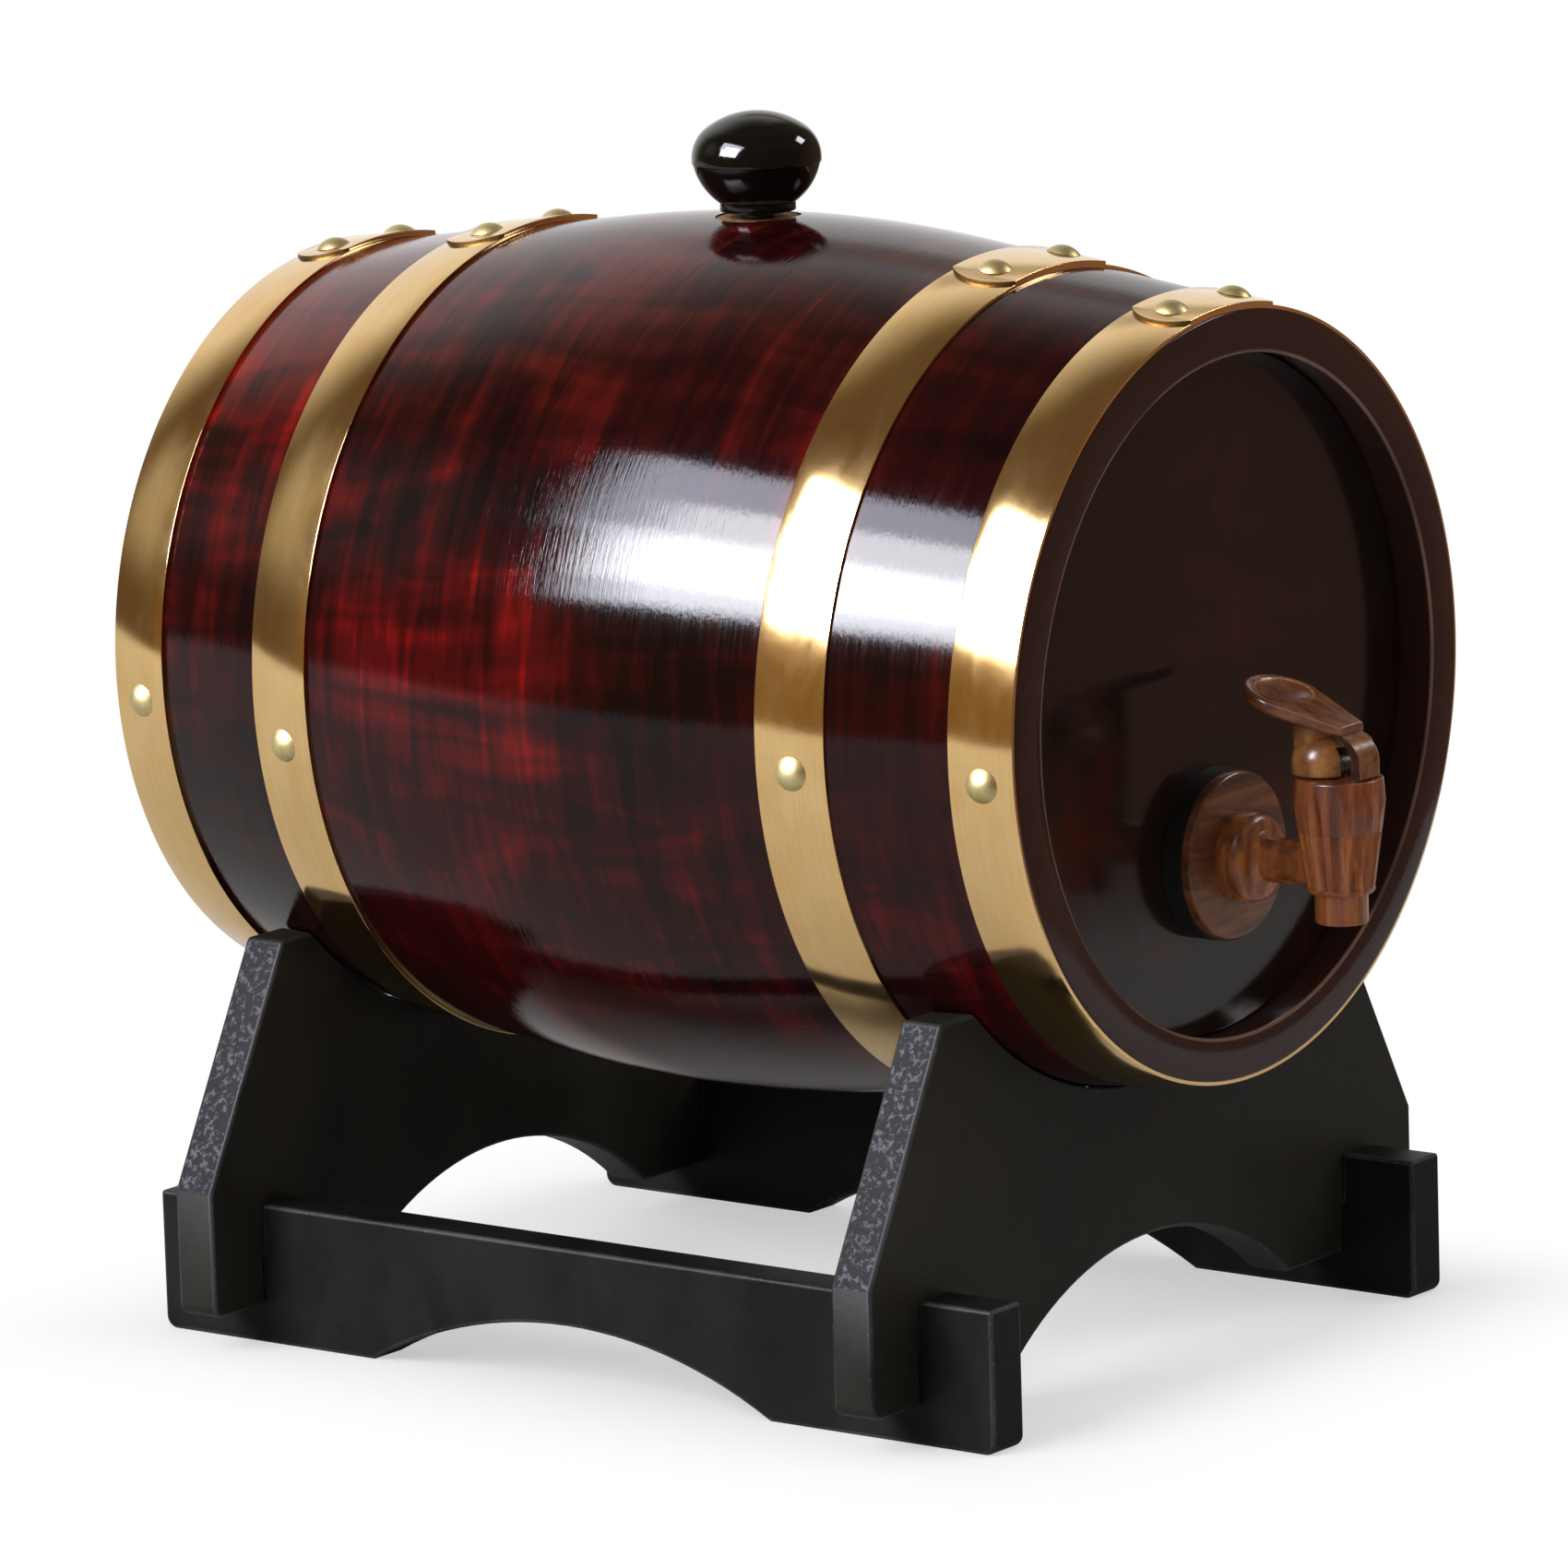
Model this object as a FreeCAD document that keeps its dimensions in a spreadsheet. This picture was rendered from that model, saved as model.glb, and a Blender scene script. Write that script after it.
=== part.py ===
import FreeCAD, Part
import Sketcher
import math
import os
import re

# Wooden barrel dispenser: a five litre cask with a press tap, lying in a cradle.
# X runs across the cask, Y runs along it with the tap towards -Y, and Z is up from the table.
# All sizes are in millimetres and degrees.

doc = FreeCAD.newDocument("barrel_dispenser")
sheet = doc.addObject("Spreadsheet::Sheet", "Sizes")
nodes = {}
derived = {}
names = []


def size(name, number):
    """Put one driving size into the sheet under its own name."""
    row = len(names) + 1
    sheet.set(f"A{row}", name)
    sheet.set(f"B{row}", str(number))
    sheet.setAlias(f"B{row}", name)
    names.append(name)


def derive(name, text):
    """Name a size that follows from the driving sizes."""
    derived[name] = text


def full(text):
    """Write out an expression so that every name in it points into the sheet."""

    def spell_out(match):
        word = match.group(0)
        if word in names:
            return f"Sizes.{word}"
        if word in derived:
            return f"({full(derived[word])})"
        return word

    return re.sub(r"(?<![\w.])[a-z][a-z0-9_]*", spell_out, str(text))


def value(text):
    """Work out an expression as a plain number."""
    answer = sheet.evalExpression(full(text))
    return float(getattr(answer, "Value", answer))


# The cask

size("belly_radius", 102.5)
size("taper", 7.7)
size("bilge_half", 45)
size("barrel_half", 130)
size("stave_count", 16)
size("stave_thick", 10)
size("head_recess", 9.3)
size("head_thick", 10)
size("head_bevel", 2)
size("head_bevel_width", 7.2)
size("head_tongue", 4.8)
size("head_gap", 0.2)
size("croze_depth", 4)
derive("bilge_radius", "bilge_half / sin(taper)")
derive("bilge_edge", "belly_radius - bilge_half * tan(taper / 2)")
derive("chime_radius", "bilge_edge - (barrel_half - bilge_half) * tan(taper)")
derive("chime_wall", "chime_radius - stave_thick / cos(taper)")
derive("head_face", "barrel_half - head_recess")
derive("croze_front", "head_face - head_bevel")
derive("croze_back", "croze_front - head_tongue")
derive("croze_radius", "chime_wall + head_recess * tan(taper) + croze_depth")

# The hoops and their nails

size("hoop_thick", 0.8)
size("end_hoop_edge", 129.6)
size("end_hoop_width", 16.1)
size("quarter_hoop_edge", 82.5)
size("quarter_hoop_width", 17.5)
size("lap_angle", 13)
size("lap_bow", 4)
size("lap_nail_angle", 8)
size("flank_nail_angle", 94)
size("rear_end_nail_angle", 95)
size("rear_quarter_nail_angle", 98)
size("nail_head_radius", 4)
size("nail_head_rise", 1.9)
size("nail_shank_radius", 1.2)
size("nail_depth", 6.5)
derive("nail_dome", "(nail_head_radius ^ 2 + nail_head_rise ^ 2) / (2 * nail_head_rise)")

# The bung

size("bung_offset", 3.5)
size("knob_rise", 24.3)
size("knob_radius", 15.2)
size("knob_middle", 13.3)
size("knob_side_round", 9)
size("knob_ridge", 0.3)
size("knob_ridge_low", 12.2)
size("collar_foot_rise", 1)
size("collar_top_rise", 3)
size("bung_collar_radius", 8.9)
size("dowel_radius", 4)
size("dowel_depth", 16)
size("cork_top_radius", 10)
size("cork_foot_radius", 8.5)
size("cork_sunk", 0.6)
size("cork_length", 20)
size("cork_gap", 0.05)
derive("knob_shoulder", "knob_radius - knob_side_round")
derive("knob_crown", "knob_rise - knob_middle")
derive(
    "knob_top_round",
    "(knob_shoulder ^ 2 + knob_crown ^ 2 - knob_side_round ^ 2) / (2 * (knob_crown - knob_side_round))",
)
derive("knob_top_centre", "knob_rise - knob_top_round")
derive("knob_meet", "knob_top_round / (knob_top_round - knob_side_round)")
derive("cork_slope", "(cork_top_radius - cork_foot_radius) / cork_length")

# The tap, measured from the crossing of its pipe and its upright housing

size("spout_reach", 156)
size("tap_drop", 37)
size("washer_radius", 19.8)
size("washer_thick", 5)
size("rosette_radius", 19.5)
size("rosette_thick", 2.7)
size("rosette_round", 1.2)
size("rosette_gap", 0.2)
size("collar_radius", 10.4)
size("collar_length", 6.8)
size("collar_round", 2.8)
size("collar_neck_radius", 6.4)
size("pipe_radius", 5.2)
size("pipe_flare", 1.6)
size("pipe_bore", 3.2)
size("shank_bore", 4)
size("shank_radius", 8)
size("shank_length", 30)
size("shank_gap", 0.4)
size("inner_washer_radius", 13.5)
size("inner_washer_thick", 2)
size("nut_radius", 13)
size("nut_thick", 6)
derive("face_reach", "spout_reach - head_face")
derive("rosette_back", "face_reach - washer_thick")
derive("rosette_front", "rosette_back - rosette_thick")
derive("head_back", "face_reach + head_thick")
derive("nut_front", "head_back + inner_washer_thick")

size("rim_height", 20.8)
size("rim_radius", 10.1)
size("rim_round", 0.5)
size("wide_height", 15)
size("wide_radius", 10.5)
size("foot_height", -5.8)
size("foot_radius", 7.7)
size("foot_round", 1)
size("nozzle_radius", 6.1)
size("nozzle_end", -12.7)
size("nozzle_round", 0.6)
size("seam_height", 8.5)
size("flute_count", 12)
size("flute_radius", 3.2)
size("flute_depth", 0.6)
size("flute_start", -4.6)
size("chamber_radius", 5.6)
size("seat_height", -4)
size("seat_radius", 3.6)
size("nozzle_bore", 4.6)
size("nozzle_bore_top", -5.4)
size("neck_radius", 8)
size("neck_top", 15)
size("bonnet_bore", 8.1)
size("bonnet_ceiling", 17.8)
derive("housing_slope", "(wide_radius - foot_radius) / (wide_height - foot_height)")
derive("seam_radius", "wide_radius - (wide_height - seam_height) * housing_slope")
derive("housing_lean", "atan(housing_slope) / 1 deg")

size("stem_radius", 1.9)
size("stem_gap", 0.05)
size("stem_tail_radius", 1.5)
size("stem_step", 3)
size("stem_foot", -2.2)
size("stem_shoulder", 21.8)
size("ring_radius", 0.8)
size("ring_pocket_radius", 3.6)
size("ring_pocket_depth", 1.7)
size("gland_radius", 7)
size("gland_thick", 0.8)
size("retainer_radius", 4.4)
size("retainer_thick", 1.2)
size("plug_radius", 4.6)
size("plug_disc", 2.5)
size("plug_neck_radius", 3)
size("seat_clearance", 0.05)
size("spring_radius", 3.4)
size("spring_wire", 0.35)
size("spring_turns", 6)
derive("stem_hole", "stem_radius + stem_gap")
derive("ring_centre_radius", "stem_hole + ring_radius")
derive("gland_foot", "bonnet_ceiling - gland_thick")
derive("retainer_foot", "stem_step - retainer_thick")
derive("plug_foot", "seat_height + seat_clearance")

size("hinge_back", 10.3)
size("hinge_height", 20.95)
size("lever_travel", 20)
size("pin_height", 23.5)
size("pin_radius", 1)
size("pin_start", -4)
size("pin_length", 8.9)
size("slot_clearance", 0.15)
size("eye_wall", 1.2)
size("cavity_radius", 4.4)
size("cavity_half", 2.2)
size("heel_radius", 6.9)
size("heel_back", 4.5)
size("heel_foot", 21.2)
size("heel_straight", 3.1)
size("heel_round", 5.4)
size("throat_radius", 4.3)
size("throat_back", 7.1)
size("throat_foot", 27)
size("throat_sunk", 0.1)
size("paddle_slope", 18.5)
size("paddle_front", -4)
size("paddle_front_height", 33.15)
size("paddle_widest", 14.6)
size("paddle_half", 10.2)
size("paddle_tip", 23.6)
size("paddle_corner", 6.6)
size("paddle_flare", 18.6)
size("paddle_front_thick", 2.7)
size("paddle_throat_thick", 3.6)
size("paddle_tip_thick", 3)
size("paddle_edge_round", 1)
size("heel_edge_round", 0.4)
size("dish_back", 14.5)
size("dish_half", 8)
size("dish_half_length", 6.3)
size("dish_depth", 1.3)
size("dish_rise", 1.3)
size("strap_reach", 8.5)
size("strap_thick", 1.9)
size("strap_bend_height", 24.5)
size("strap_top_outer", 3.8)
size("strap_top_inner", 3)
size("strap_outer_rise", 6.3)
size("strap_inner_rise", 5.7)
derive("hinge_lift", "pin_height - hinge_height")
derive("pin_swing", "sqrt(hinge_back ^ 2 + hinge_lift ^ 2)")
derive("pin_angle", "atan(hinge_lift / hinge_back) / 1 deg")
derive("slot_run", "hinge_back - pin_swing * cos(pin_angle + lever_travel)")
derive("stem_lift", "pin_swing * (sin(pin_angle + lever_travel) - sin(pin_angle))")
derive("slot_radius", "pin_radius + slot_clearance")
derive("eye_radius", "slot_radius + eye_wall")

# The lever's paddle: its end is rounded by a corner arc on each side and a flatter arc between them

derive("end_run", "paddle_tip - paddle_widest")
derive("end_half", "paddle_half - paddle_corner")
derive(
    "end_round",
    "(end_half ^ 2 + end_run ^ 2 - paddle_corner ^ 2) / (2 * (end_run - paddle_corner))",
)
derive("end_meet", "end_round / (end_round - paddle_corner)")
derive("flare_half", "end_half + paddle_corner * cos(paddle_flare)")
derive("flare_back", "paddle_widest - paddle_corner * sin(paddle_flare)")
derive("paddle_front_half", "flare_half - (flare_back - paddle_front) * tan(paddle_flare)")
derive("dish_spread", "1 / sqrt(1 - (dish_rise / (dish_rise + dish_depth)) ^ 2)")
derive("strap_outer_run", "strap_reach - strap_top_outer")
derive("strap_inner_run", "strap_reach - strap_thick - strap_top_inner")
derive("strap_outer_round", "(strap_outer_run ^ 2 + strap_outer_rise ^ 2) / (2 * strap_outer_run)")
derive("strap_inner_round", "(strap_inner_run ^ 2 + strap_inner_rise ^ 2) / (2 * strap_inner_run)")

# The cradle

size("axis_height", 158.7)
size("rail_centre", 84.85)
size("rail_thick", 11.5)
size("rail_half", 121)
size("rail_height", 33.4)
size("rail_arch_half", 58)
size("rail_arch_rise", 15)
size("foot_corner", 3)
size("board_centre", 95.5)
size("board_thick", 11)
size("board_half", 108.7)
size("board_foot", 9.3)
size("ear_height", 39.2)
size("shoulder_half", 79)
size("shoulder_height", 94.4)
size("board_arch_half", 55.7)
size("board_arch_rise", 20.8)
size("ear_corner", 3)
size("halving", 21.4)
size("saddle_gap", 0.3)
derive("rail_arch", "(rail_arch_half ^ 2 + rail_arch_rise ^ 2) / (2 * rail_arch_rise)")
derive("board_arch", "(board_arch_half ^ 2 + board_arch_rise ^ 2) / (2 * board_arch_rise)")
derive("cask_back", "(spout_reach + wide_radius - barrel_half) / 2")

doc.recompute()


def new_body(label, x="0", y="0", z="0", turn="0", lean="0"):
    """Start a body at a place, turned about Y and then leaned about its own Z."""
    body = doc.addObject("PartDesign::Body", label)
    body.Label = label
    spot = f"vector(({full(x)}) * 1 mm; ({full(y)}) * 1 mm; ({full(z)}) * 1 mm)"
    way = f"rotation(vector(0; 1; 0); ({full(turn)}) * 1 deg)"
    tilt = f"rotation(vector(0; 0; 1); ({full(lean)}) * 1 deg)"
    body.setExpression("Placement", f"placement({spot}; {way} * {tilt})")
    return body


def open_sketch(body, label, plane, across="0", up="0", out="0"):
    """Lay an empty sketch on one of the body's own planes, moved by the offsets given."""
    sketch = body.newObject("Sketcher::SketchObject", f"{body.Label}_{label}")
    origin_plane = next(item for item in body.Origin.OriginFeatures if item.Role == plane)
    sketch.AttachmentSupport = [(origin_plane, "")]
    sketch.MapMode = "FlatFace"
    sketch.setExpression("AttachmentOffset.Base.x", full(across))
    sketch.setExpression("AttachmentOffset.Base.y", full(up))
    sketch.setExpression("AttachmentOffset.Base.z", full(out))
    return sketch


def hold(sketch, kind, places, text):
    """Add one constraint whose number follows an expression."""
    index = sketch.addConstraint(Sketcher.Constraint(kind, *places, value(text)))
    sketch.setExpression(f"Constraints[{index}]", full(text))


def arc_between(start, end, radius, side):
    """Make the short arc between two points with its centre left (1) or right (-1) of the way."""
    chord = end - start
    height = math.sqrt(max(radius**2 - chord.Length**2 / 4, 0))
    normal = FreeCAD.Vector(-chord.y, chord.x, 0) / chord.Length
    centre = (start + end) / 2 + normal * (height * side)
    first, last = (start, end) if side > 0 else (end, start)
    begin = math.atan2(first.y - centre.y, first.x - centre.x)
    finish = math.atan2(last.y - centre.y, last.x - centre.x)
    if finish < begin:
        finish += 2 * math.pi
    circle = Part.Circle(centre, FreeCAD.Vector(0, 0, 1), radius)
    return Part.ArcOfCircle(circle, begin, finish)


def draw_outline(sketch, corners):
    """Draw a closed outline. A corner is (x, y), or (x, y, radius, side) where an arc leads to it."""
    points = [FreeCAD.Vector(value(corner[0]), value(corner[1]), 0) for corner in corners]
    ends = []
    for number, corner in enumerate(corners):
        start = points[number - 1]
        if len(corner) == 2:
            index = sketch.addGeometry(Part.LineSegment(start, points[number]))
            ends.append((index, 1, 2))
        else:
            arc = arc_between(start, points[number], value(corner[2]), corner[3])
            index = sketch.addGeometry(arc)
            ends.append((index, 1, 2) if corner[3] > 0 else (index, 2, 1))
            hold(sketch, "Radius", (index,), corner[2])
    for number, corner in enumerate(corners):
        here = ends[number]
        after = ends[(number + 1) % len(ends)]
        sketch.addConstraint(Sketcher.Constraint("Coincident", here[0], here[2], after[0], after[1]))
        hold(sketch, "DistanceX", (-1, 1, here[0], here[2]), corner[0])
        hold(sketch, "DistanceY", (-1, 1, here[0], here[2]), corner[1])


def draw_circle(sketch, x, y, radius):
    """Draw a circle held by its centre and radius."""
    centre = FreeCAD.Vector(value(x), value(y), 0)
    circle = Part.Circle(centre, FreeCAD.Vector(0, 0, 1), value(radius))
    index = sketch.addGeometry(circle)
    hold(sketch, "DistanceX", (-1, 1, index, 3), x)
    hold(sketch, "DistanceY", (-1, 1, index, 3), y)
    hold(sketch, "Radius", (index,), radius)


def add_feature(body, kind, label, sketch):
    """Add a feature that works from one sketch."""
    feature = body.newObject(f"PartDesign::{kind}", f"{body.Label}_{label}")
    feature.Profile = sketch
    sketch.Visibility = False
    return feature


def turn(body, label, sketch, axis="V_Axis", angle="360", kind="Revolution"):
    """Turn a sketch about one of its axes, to add material or to cut a groove."""
    feature = add_feature(body, kind, label, sketch)
    feature.ReferenceAxis = (sketch, [axis])
    feature.setExpression("Angle", full(angle))
    feature.Midplane = True
    return feature


def push(body, label, sketch, length, kind="Pad", both=True, reverse=False):
    """Push a sketch through a length, to add material or to cut a pocket."""
    feature = add_feature(body, kind, label, sketch)
    feature.setExpression("Length", full(length))
    feature.Midplane = both
    feature.Reversed = reverse
    return feature


def keep(name, item):
    """Name an object as one finished piece."""
    item.Label = name
    nodes[name] = item


def cut_with(label, base, tool):
    """Cut one object with another."""
    cut = doc.addObject("Part::Cut", label)
    cut.Base = base
    cut.Tool = tool
    return cut


def skin(along, layers="0"):
    """Radius of the cask's tapered outside at a distance from the middle, under so many hoop layers."""
    run = f"(barrel_half - ({along})) * tan(taper)"
    return f"chime_radius + {run} + ({layers}) * hoop_thick / cos(taper)"


def wall(along):
    """Radius of the cask's tapered inside at a distance from the middle."""
    return f"chime_wall + (barrel_half - ({along})) * tan(taper)"


# Nails: a domed head on a plain shank, driven square to the tapered stave

HOOPS = {
    "front_end": (-1, "end_hoop_edge", "end_hoop_width", "flank_nail_angle"),
    "front_quarter": (-1, "quarter_hoop_edge", "quarter_hoop_width", "flank_nail_angle"),
    "rear_quarter": (1, "quarter_hoop_edge", "quarter_hoop_width", "rear_quarter_nail_angle"),
    "rear_end": (1, "end_hoop_edge", "end_hoop_width", "rear_end_nail_angle"),
}


def make_nail(label, side, along, angle, layers):
    seat = skin(along, layers)
    way = f"({angle}) - 90"
    body = new_body(
        label,
        f"({seat}) * cos({way})",
        f"cask_back + {side} * ({along})",
        f"axis_height - ({seat}) * sin({way})",
        way,
        f"{side} * taper",
    )
    sketch = open_sketch(body, "half", "XY_Plane")
    draw_outline(
        sketch,
        [
            ("0 - nail_depth", "0"),
            ("nail_shank_radius - nail_depth", "nail_shank_radius"),
            ("0", "nail_shank_radius"),
            ("0", "nail_head_radius"),
            ("nail_head_rise", "0", "nail_dome", -1),
        ],
    )
    turn(body, "turned", sketch, "H_Axis")
    return body


def make_nail_group(place):
    side, edge, width, flank_angle = HOOPS[place]
    along = f"{edge} - {width} / 2"
    nails = []
    for angle, layers in (("lap_nail_angle", "2"), (flank_angle, "1")):
        nails.append(make_nail(f"{place}_nail_{len(nails)}", side, along, angle, layers))
        nails.append(make_nail(f"{place}_nail_{len(nails)}", side, along, f"0 - {angle}", layers))
    group = doc.addObject("Part::Compound", f"{place}_nails")
    group.Links = nails
    keep(f"{place}_hoop_nails", group)
    return group


nail_groups = {place: make_nail_group(place) for place in HOOPS}
all_nails = doc.addObject("Part::Compound", "all_nails")
all_nails.Links = list(nail_groups.values())


# Hoops: a tapered band, with a tongue of double thickness where its ends are riveted


def make_hoop(place):
    side, outer, width, _ = HOOPS[place]
    inner = f"({outer} - {width})"
    reach = f"({skin(inner)}) * sin(lap_angle)"
    bow = f"(({width}) ^ 2 / 4 + lap_bow ^ 2) / (2 * lap_bow)"
    body = new_body(f"{place}_band", "0", "cask_back", "axis_height")
    plan = open_sketch(body, "tongue_plan", "XY_Plane")
    draw_outline(
        plan,
        [
            (f"{reach} - lap_bow", f"{side} * {outer}"),
            (f"{reach} - lap_bow", f"{side} * {inner}", bow, -side),
            (f"lap_bow - {reach}", f"{side} * {inner}"),
            (f"lap_bow - {reach}", f"{side} * {outer}", bow, -side),
        ],
    )
    push(body, "tongue", plan, "belly_radius * 1.1", both=False)
    beyond = f"({outer} + 2)"
    before = f"({inner} - 2)"
    far = "belly_radius * 1.3"
    above = open_sketch(body, "above_tongue", "XY_Plane")
    draw_outline(
        above,
        [
            (skin(before, "2"), f"{side} * {before}"),
            (far, f"{side} * {before}"),
            (far, f"{side} * {beyond}"),
            (skin(beyond, "2"), f"{side} * {beyond}"),
        ],
    )
    turn(body, "trim_above", above, kind="Groove")
    below = open_sketch(body, "below_tongue", "XY_Plane")
    draw_outline(
        below,
        [
            ("0", f"{side} * {before}"),
            (skin(before, "0.5"), f"{side} * {before}"),
            (skin(beyond, "0.5"), f"{side} * {beyond}"),
            ("0", f"{side} * {beyond}"),
        ],
    )
    turn(body, "trim_below", below, kind="Groove")
    ring = open_sketch(body, "ring_section", "XY_Plane")
    draw_outline(
        ring,
        [
            (skin(inner), f"{side} * {inner}"),
            (skin(inner, "1"), f"{side} * {inner}"),
            (skin(outer, "1"), f"{side} * {outer}"),
            (skin(outer), f"{side} * {outer}"),
        ],
    )
    turn(body, "ring", ring)
    keep(f"{place}_hoop", cut_with(f"{place}_hoop_drilled", body, nail_groups[place]))


for place in HOOPS:
    make_hoop(place)


# Staves: curved through the bilge, straight towards both ends, grooved for the heads


def make_stave(number):
    name = f"stave_{number + 1:02d}"
    angle = f"{number} * 360 / stave_count - 90"
    body = new_body(f"{name}_plain", "0", "cask_back", "axis_height", angle)
    section = open_sketch(body, "section", "XY_Plane")
    inner_edge = "bilge_edge - stave_thick * cos(taper)"
    inner_along = "bilge_half - stave_thick * sin(taper)"
    draw_outline(
        section,
        [
            ("chime_radius", "0 - barrel_half"),
            ("bilge_edge", "0 - bilge_half"),
            ("bilge_edge", "bilge_half", "bilge_radius", 1),
            ("chime_radius", "barrel_half"),
            ("chime_wall", "barrel_half"),
            (wall("croze_front"), "croze_front"),
            ("croze_radius", "croze_front"),
            ("croze_radius", "croze_back"),
            (wall("croze_back"), "croze_back"),
            (inner_edge, inner_along),
            (inner_edge, f"0 - ({inner_along})", "bilge_radius - stave_thick", -1),
            (wall("croze_back"), "0 - croze_back"),
            ("croze_radius", "0 - croze_back"),
            ("croze_radius", "0 - croze_front"),
            (wall("croze_front"), "0 - croze_front"),
            ("chime_wall", "0 - barrel_half"),
        ],
    )
    turn(body, "turned", section, angle="360 / stave_count")
    if number == 0:
        hole = open_sketch(body, "bung_hole", "XY_Plane", up="bung_offset")
        low = "belly_radius - cork_sunk - cork_length"
        high = "belly_radius + 4"
        draw_outline(
            hole,
            [
                (low, "0"),
                (high, "0"),
                (high, f"cork_foot_radius + cork_gap + ({high} - ({low})) * cork_slope"),
                (low, "cork_foot_radius + cork_gap"),
            ],
        )
        turn(body, "bung_hole_cut", hole, "H_Axis", kind="Groove")
    quarter = round(value("stave_count") / 4)
    if number in (0, quarter, round(value("stave_count")) - quarter):
        keep(name, cut_with(f"{name}_drilled", body, all_nails))
    else:
        keep(name, body)


for number in range(round(value("stave_count"))):
    make_stave(number)


# Heads: discs with a bevelled edge that stand in the croze grooves


def make_head(name, side):
    body = new_body(name, "0", "cask_back", "axis_height")
    half = open_sketch(body, "half", "XY_Plane")
    edge = f"{wall('croze_front')} - head_gap"
    flat = f"{wall('croze_front')} - head_bevel_width"
    draw_outline(
        half,
        [
            ("0", f"{side} * head_face"),
            (flat, f"{side} * head_face"),
            (edge, f"{side} * croze_front"),
            ("croze_radius - head_gap", f"{side} * croze_front"),
            ("croze_radius - head_gap", f"{side} * croze_back"),
            (edge, f"{side} * croze_back"),
            (flat, f"{side} * (head_face - head_thick)"),
            ("0", f"{side} * (head_face - head_thick)"),
        ],
    )
    turn(body, "turned", half)
    if side < 0:
        hole = open_sketch(body, "tap_hole", "XZ_Plane")
        draw_circle(hole, "0", "0 - tap_drop", "shank_radius + shank_gap")
        push(body, "tap_hole_cut", hole, "2 * barrel_half", "Pocket")
    keep(name, body)


make_head("front_head", -1)
make_head("rear_head", 1)


# Bung: a turned knob whose dowel stands in a tapered cork

bung_place = ("0", "cask_back + bung_offset", "axis_height + belly_radius")
knob = new_body("bung_knob", *bung_place)
knob_half = open_sketch(knob, "half", "XZ_Plane")
draw_outline(
    knob_half,
    [
        ("0", "0 - dowel_depth"),
        ("dowel_radius", "0 - dowel_depth"),
        ("dowel_radius", "collar_foot_rise"),
        ("bung_collar_radius", "collar_foot_rise"),
        ("bung_collar_radius", "collar_top_rise"),
        ("knob_radius - knob_ridge", "knob_ridge_low", "knob_radius", 1),
        ("knob_radius", "knob_ridge_low + knob_ridge"),
        ("knob_radius", "knob_middle"),
        (
            "knob_shoulder * knob_meet",
            "knob_top_centre + (knob_middle - knob_top_centre) * knob_meet",
            "knob_side_round",
            1,
        ),
        ("0", "knob_rise", "knob_top_round", 1),
    ],
)
turn(knob, "turned", knob_half)
keep("bung_knob", knob)

cork = new_body("bung_cork", *bung_place)
cork_half = open_sketch(cork, "half", "XZ_Plane")
draw_outline(
    cork_half,
    [
        ("0", "0 - cork_sunk - cork_length"),
        ("cork_foot_radius", "0 - cork_sunk - cork_length"),
        ("cork_top_radius", "0 - cork_sunk"),
        ("dowel_radius", "0 - cork_sunk"),
        ("dowel_radius", "0 - dowel_depth"),
        ("0", "0 - dowel_depth"),
    ],
)
turn(cork, "turned", cork_half)
keep("bung_cork", cork)


# Tap body: fluted housing, pipe, collar and threaded shank in one piece, bored through

tap_place = ("0", "cask_back - spout_reach", "axis_height - tap_drop")


def cut_flutes(body):
    """Cut the ring of hollow flutes that run up the tapered housing."""
    flute = body.newObject("PartDesign::SubtractiveCylinder", f"{body.Label}_flute")
    flute.setExpression("Radius", full("flute_radius"))
    flute.setExpression("Height", full("2 * rim_height"))
    reach = "foot_radius + (flute_start - foot_height) * housing_slope - flute_depth + flute_radius"
    spot = f"vector(({full(reach)}) * 1 mm; 0 mm; {full('flute_start')} * 1 mm)"
    tilt = f"rotation(vector(0; 1; 0); {full('housing_lean')} * 1 deg)"
    flute.setExpression("Placement", f"placement({spot}; {tilt})")
    ring = body.newObject("PartDesign::PolarPattern", f"{body.Label}_flutes")
    ring.Originals = [flute]
    ring.Axis = (next(item for item in body.Origin.OriginFeatures if item.Role == "Z_Axis"), [""])
    ring.Angle = 360
    body.Tip = ring
    ring.setExpression("Occurrences", full("flute_count"))


tap_body = new_body("tap_body", *tap_place)
housing = open_sketch(tap_body, "housing", "YZ_Plane")
draw_outline(
    housing,
    [
        ("0", "nozzle_end"),
        ("nozzle_radius - nozzle_round", "nozzle_end"),
        ("nozzle_radius", "nozzle_end + nozzle_round", "nozzle_round", 1),
        ("nozzle_radius", "foot_height"),
        ("foot_radius - foot_round", "foot_height"),
        ("foot_radius", "foot_height + foot_round", "foot_round", 1),
        ("seam_radius", "seam_height"),
        ("neck_radius", "seam_height"),
        ("neck_radius", "neck_top"),
        ("0", "neck_top"),
    ],
)
turn(tap_body, "housing_turned", housing)
cut_flutes(tap_body)
pipe = open_sketch(tap_body, "pipe", "YZ_Plane")
collar_front = "rosette_front - collar_length"
draw_outline(
    pipe,
    [
        ("0", "0"),
        ("0", "pipe_radius"),
        (f"{collar_front} - pipe_flare", "pipe_radius"),
        (collar_front, "collar_neck_radius"),
        (collar_front, "collar_radius - collar_round"),
        (f"{collar_front} + collar_round", "collar_radius", "collar_round", -1),
        ("rosette_front", "collar_radius"),
        ("rosette_front", "shank_radius"),
        ("rosette_front + shank_length - 1", "shank_radius"),
        ("rosette_front + shank_length", "shank_radius - 1"),
        ("rosette_front + shank_length", "0"),
    ],
)
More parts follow.
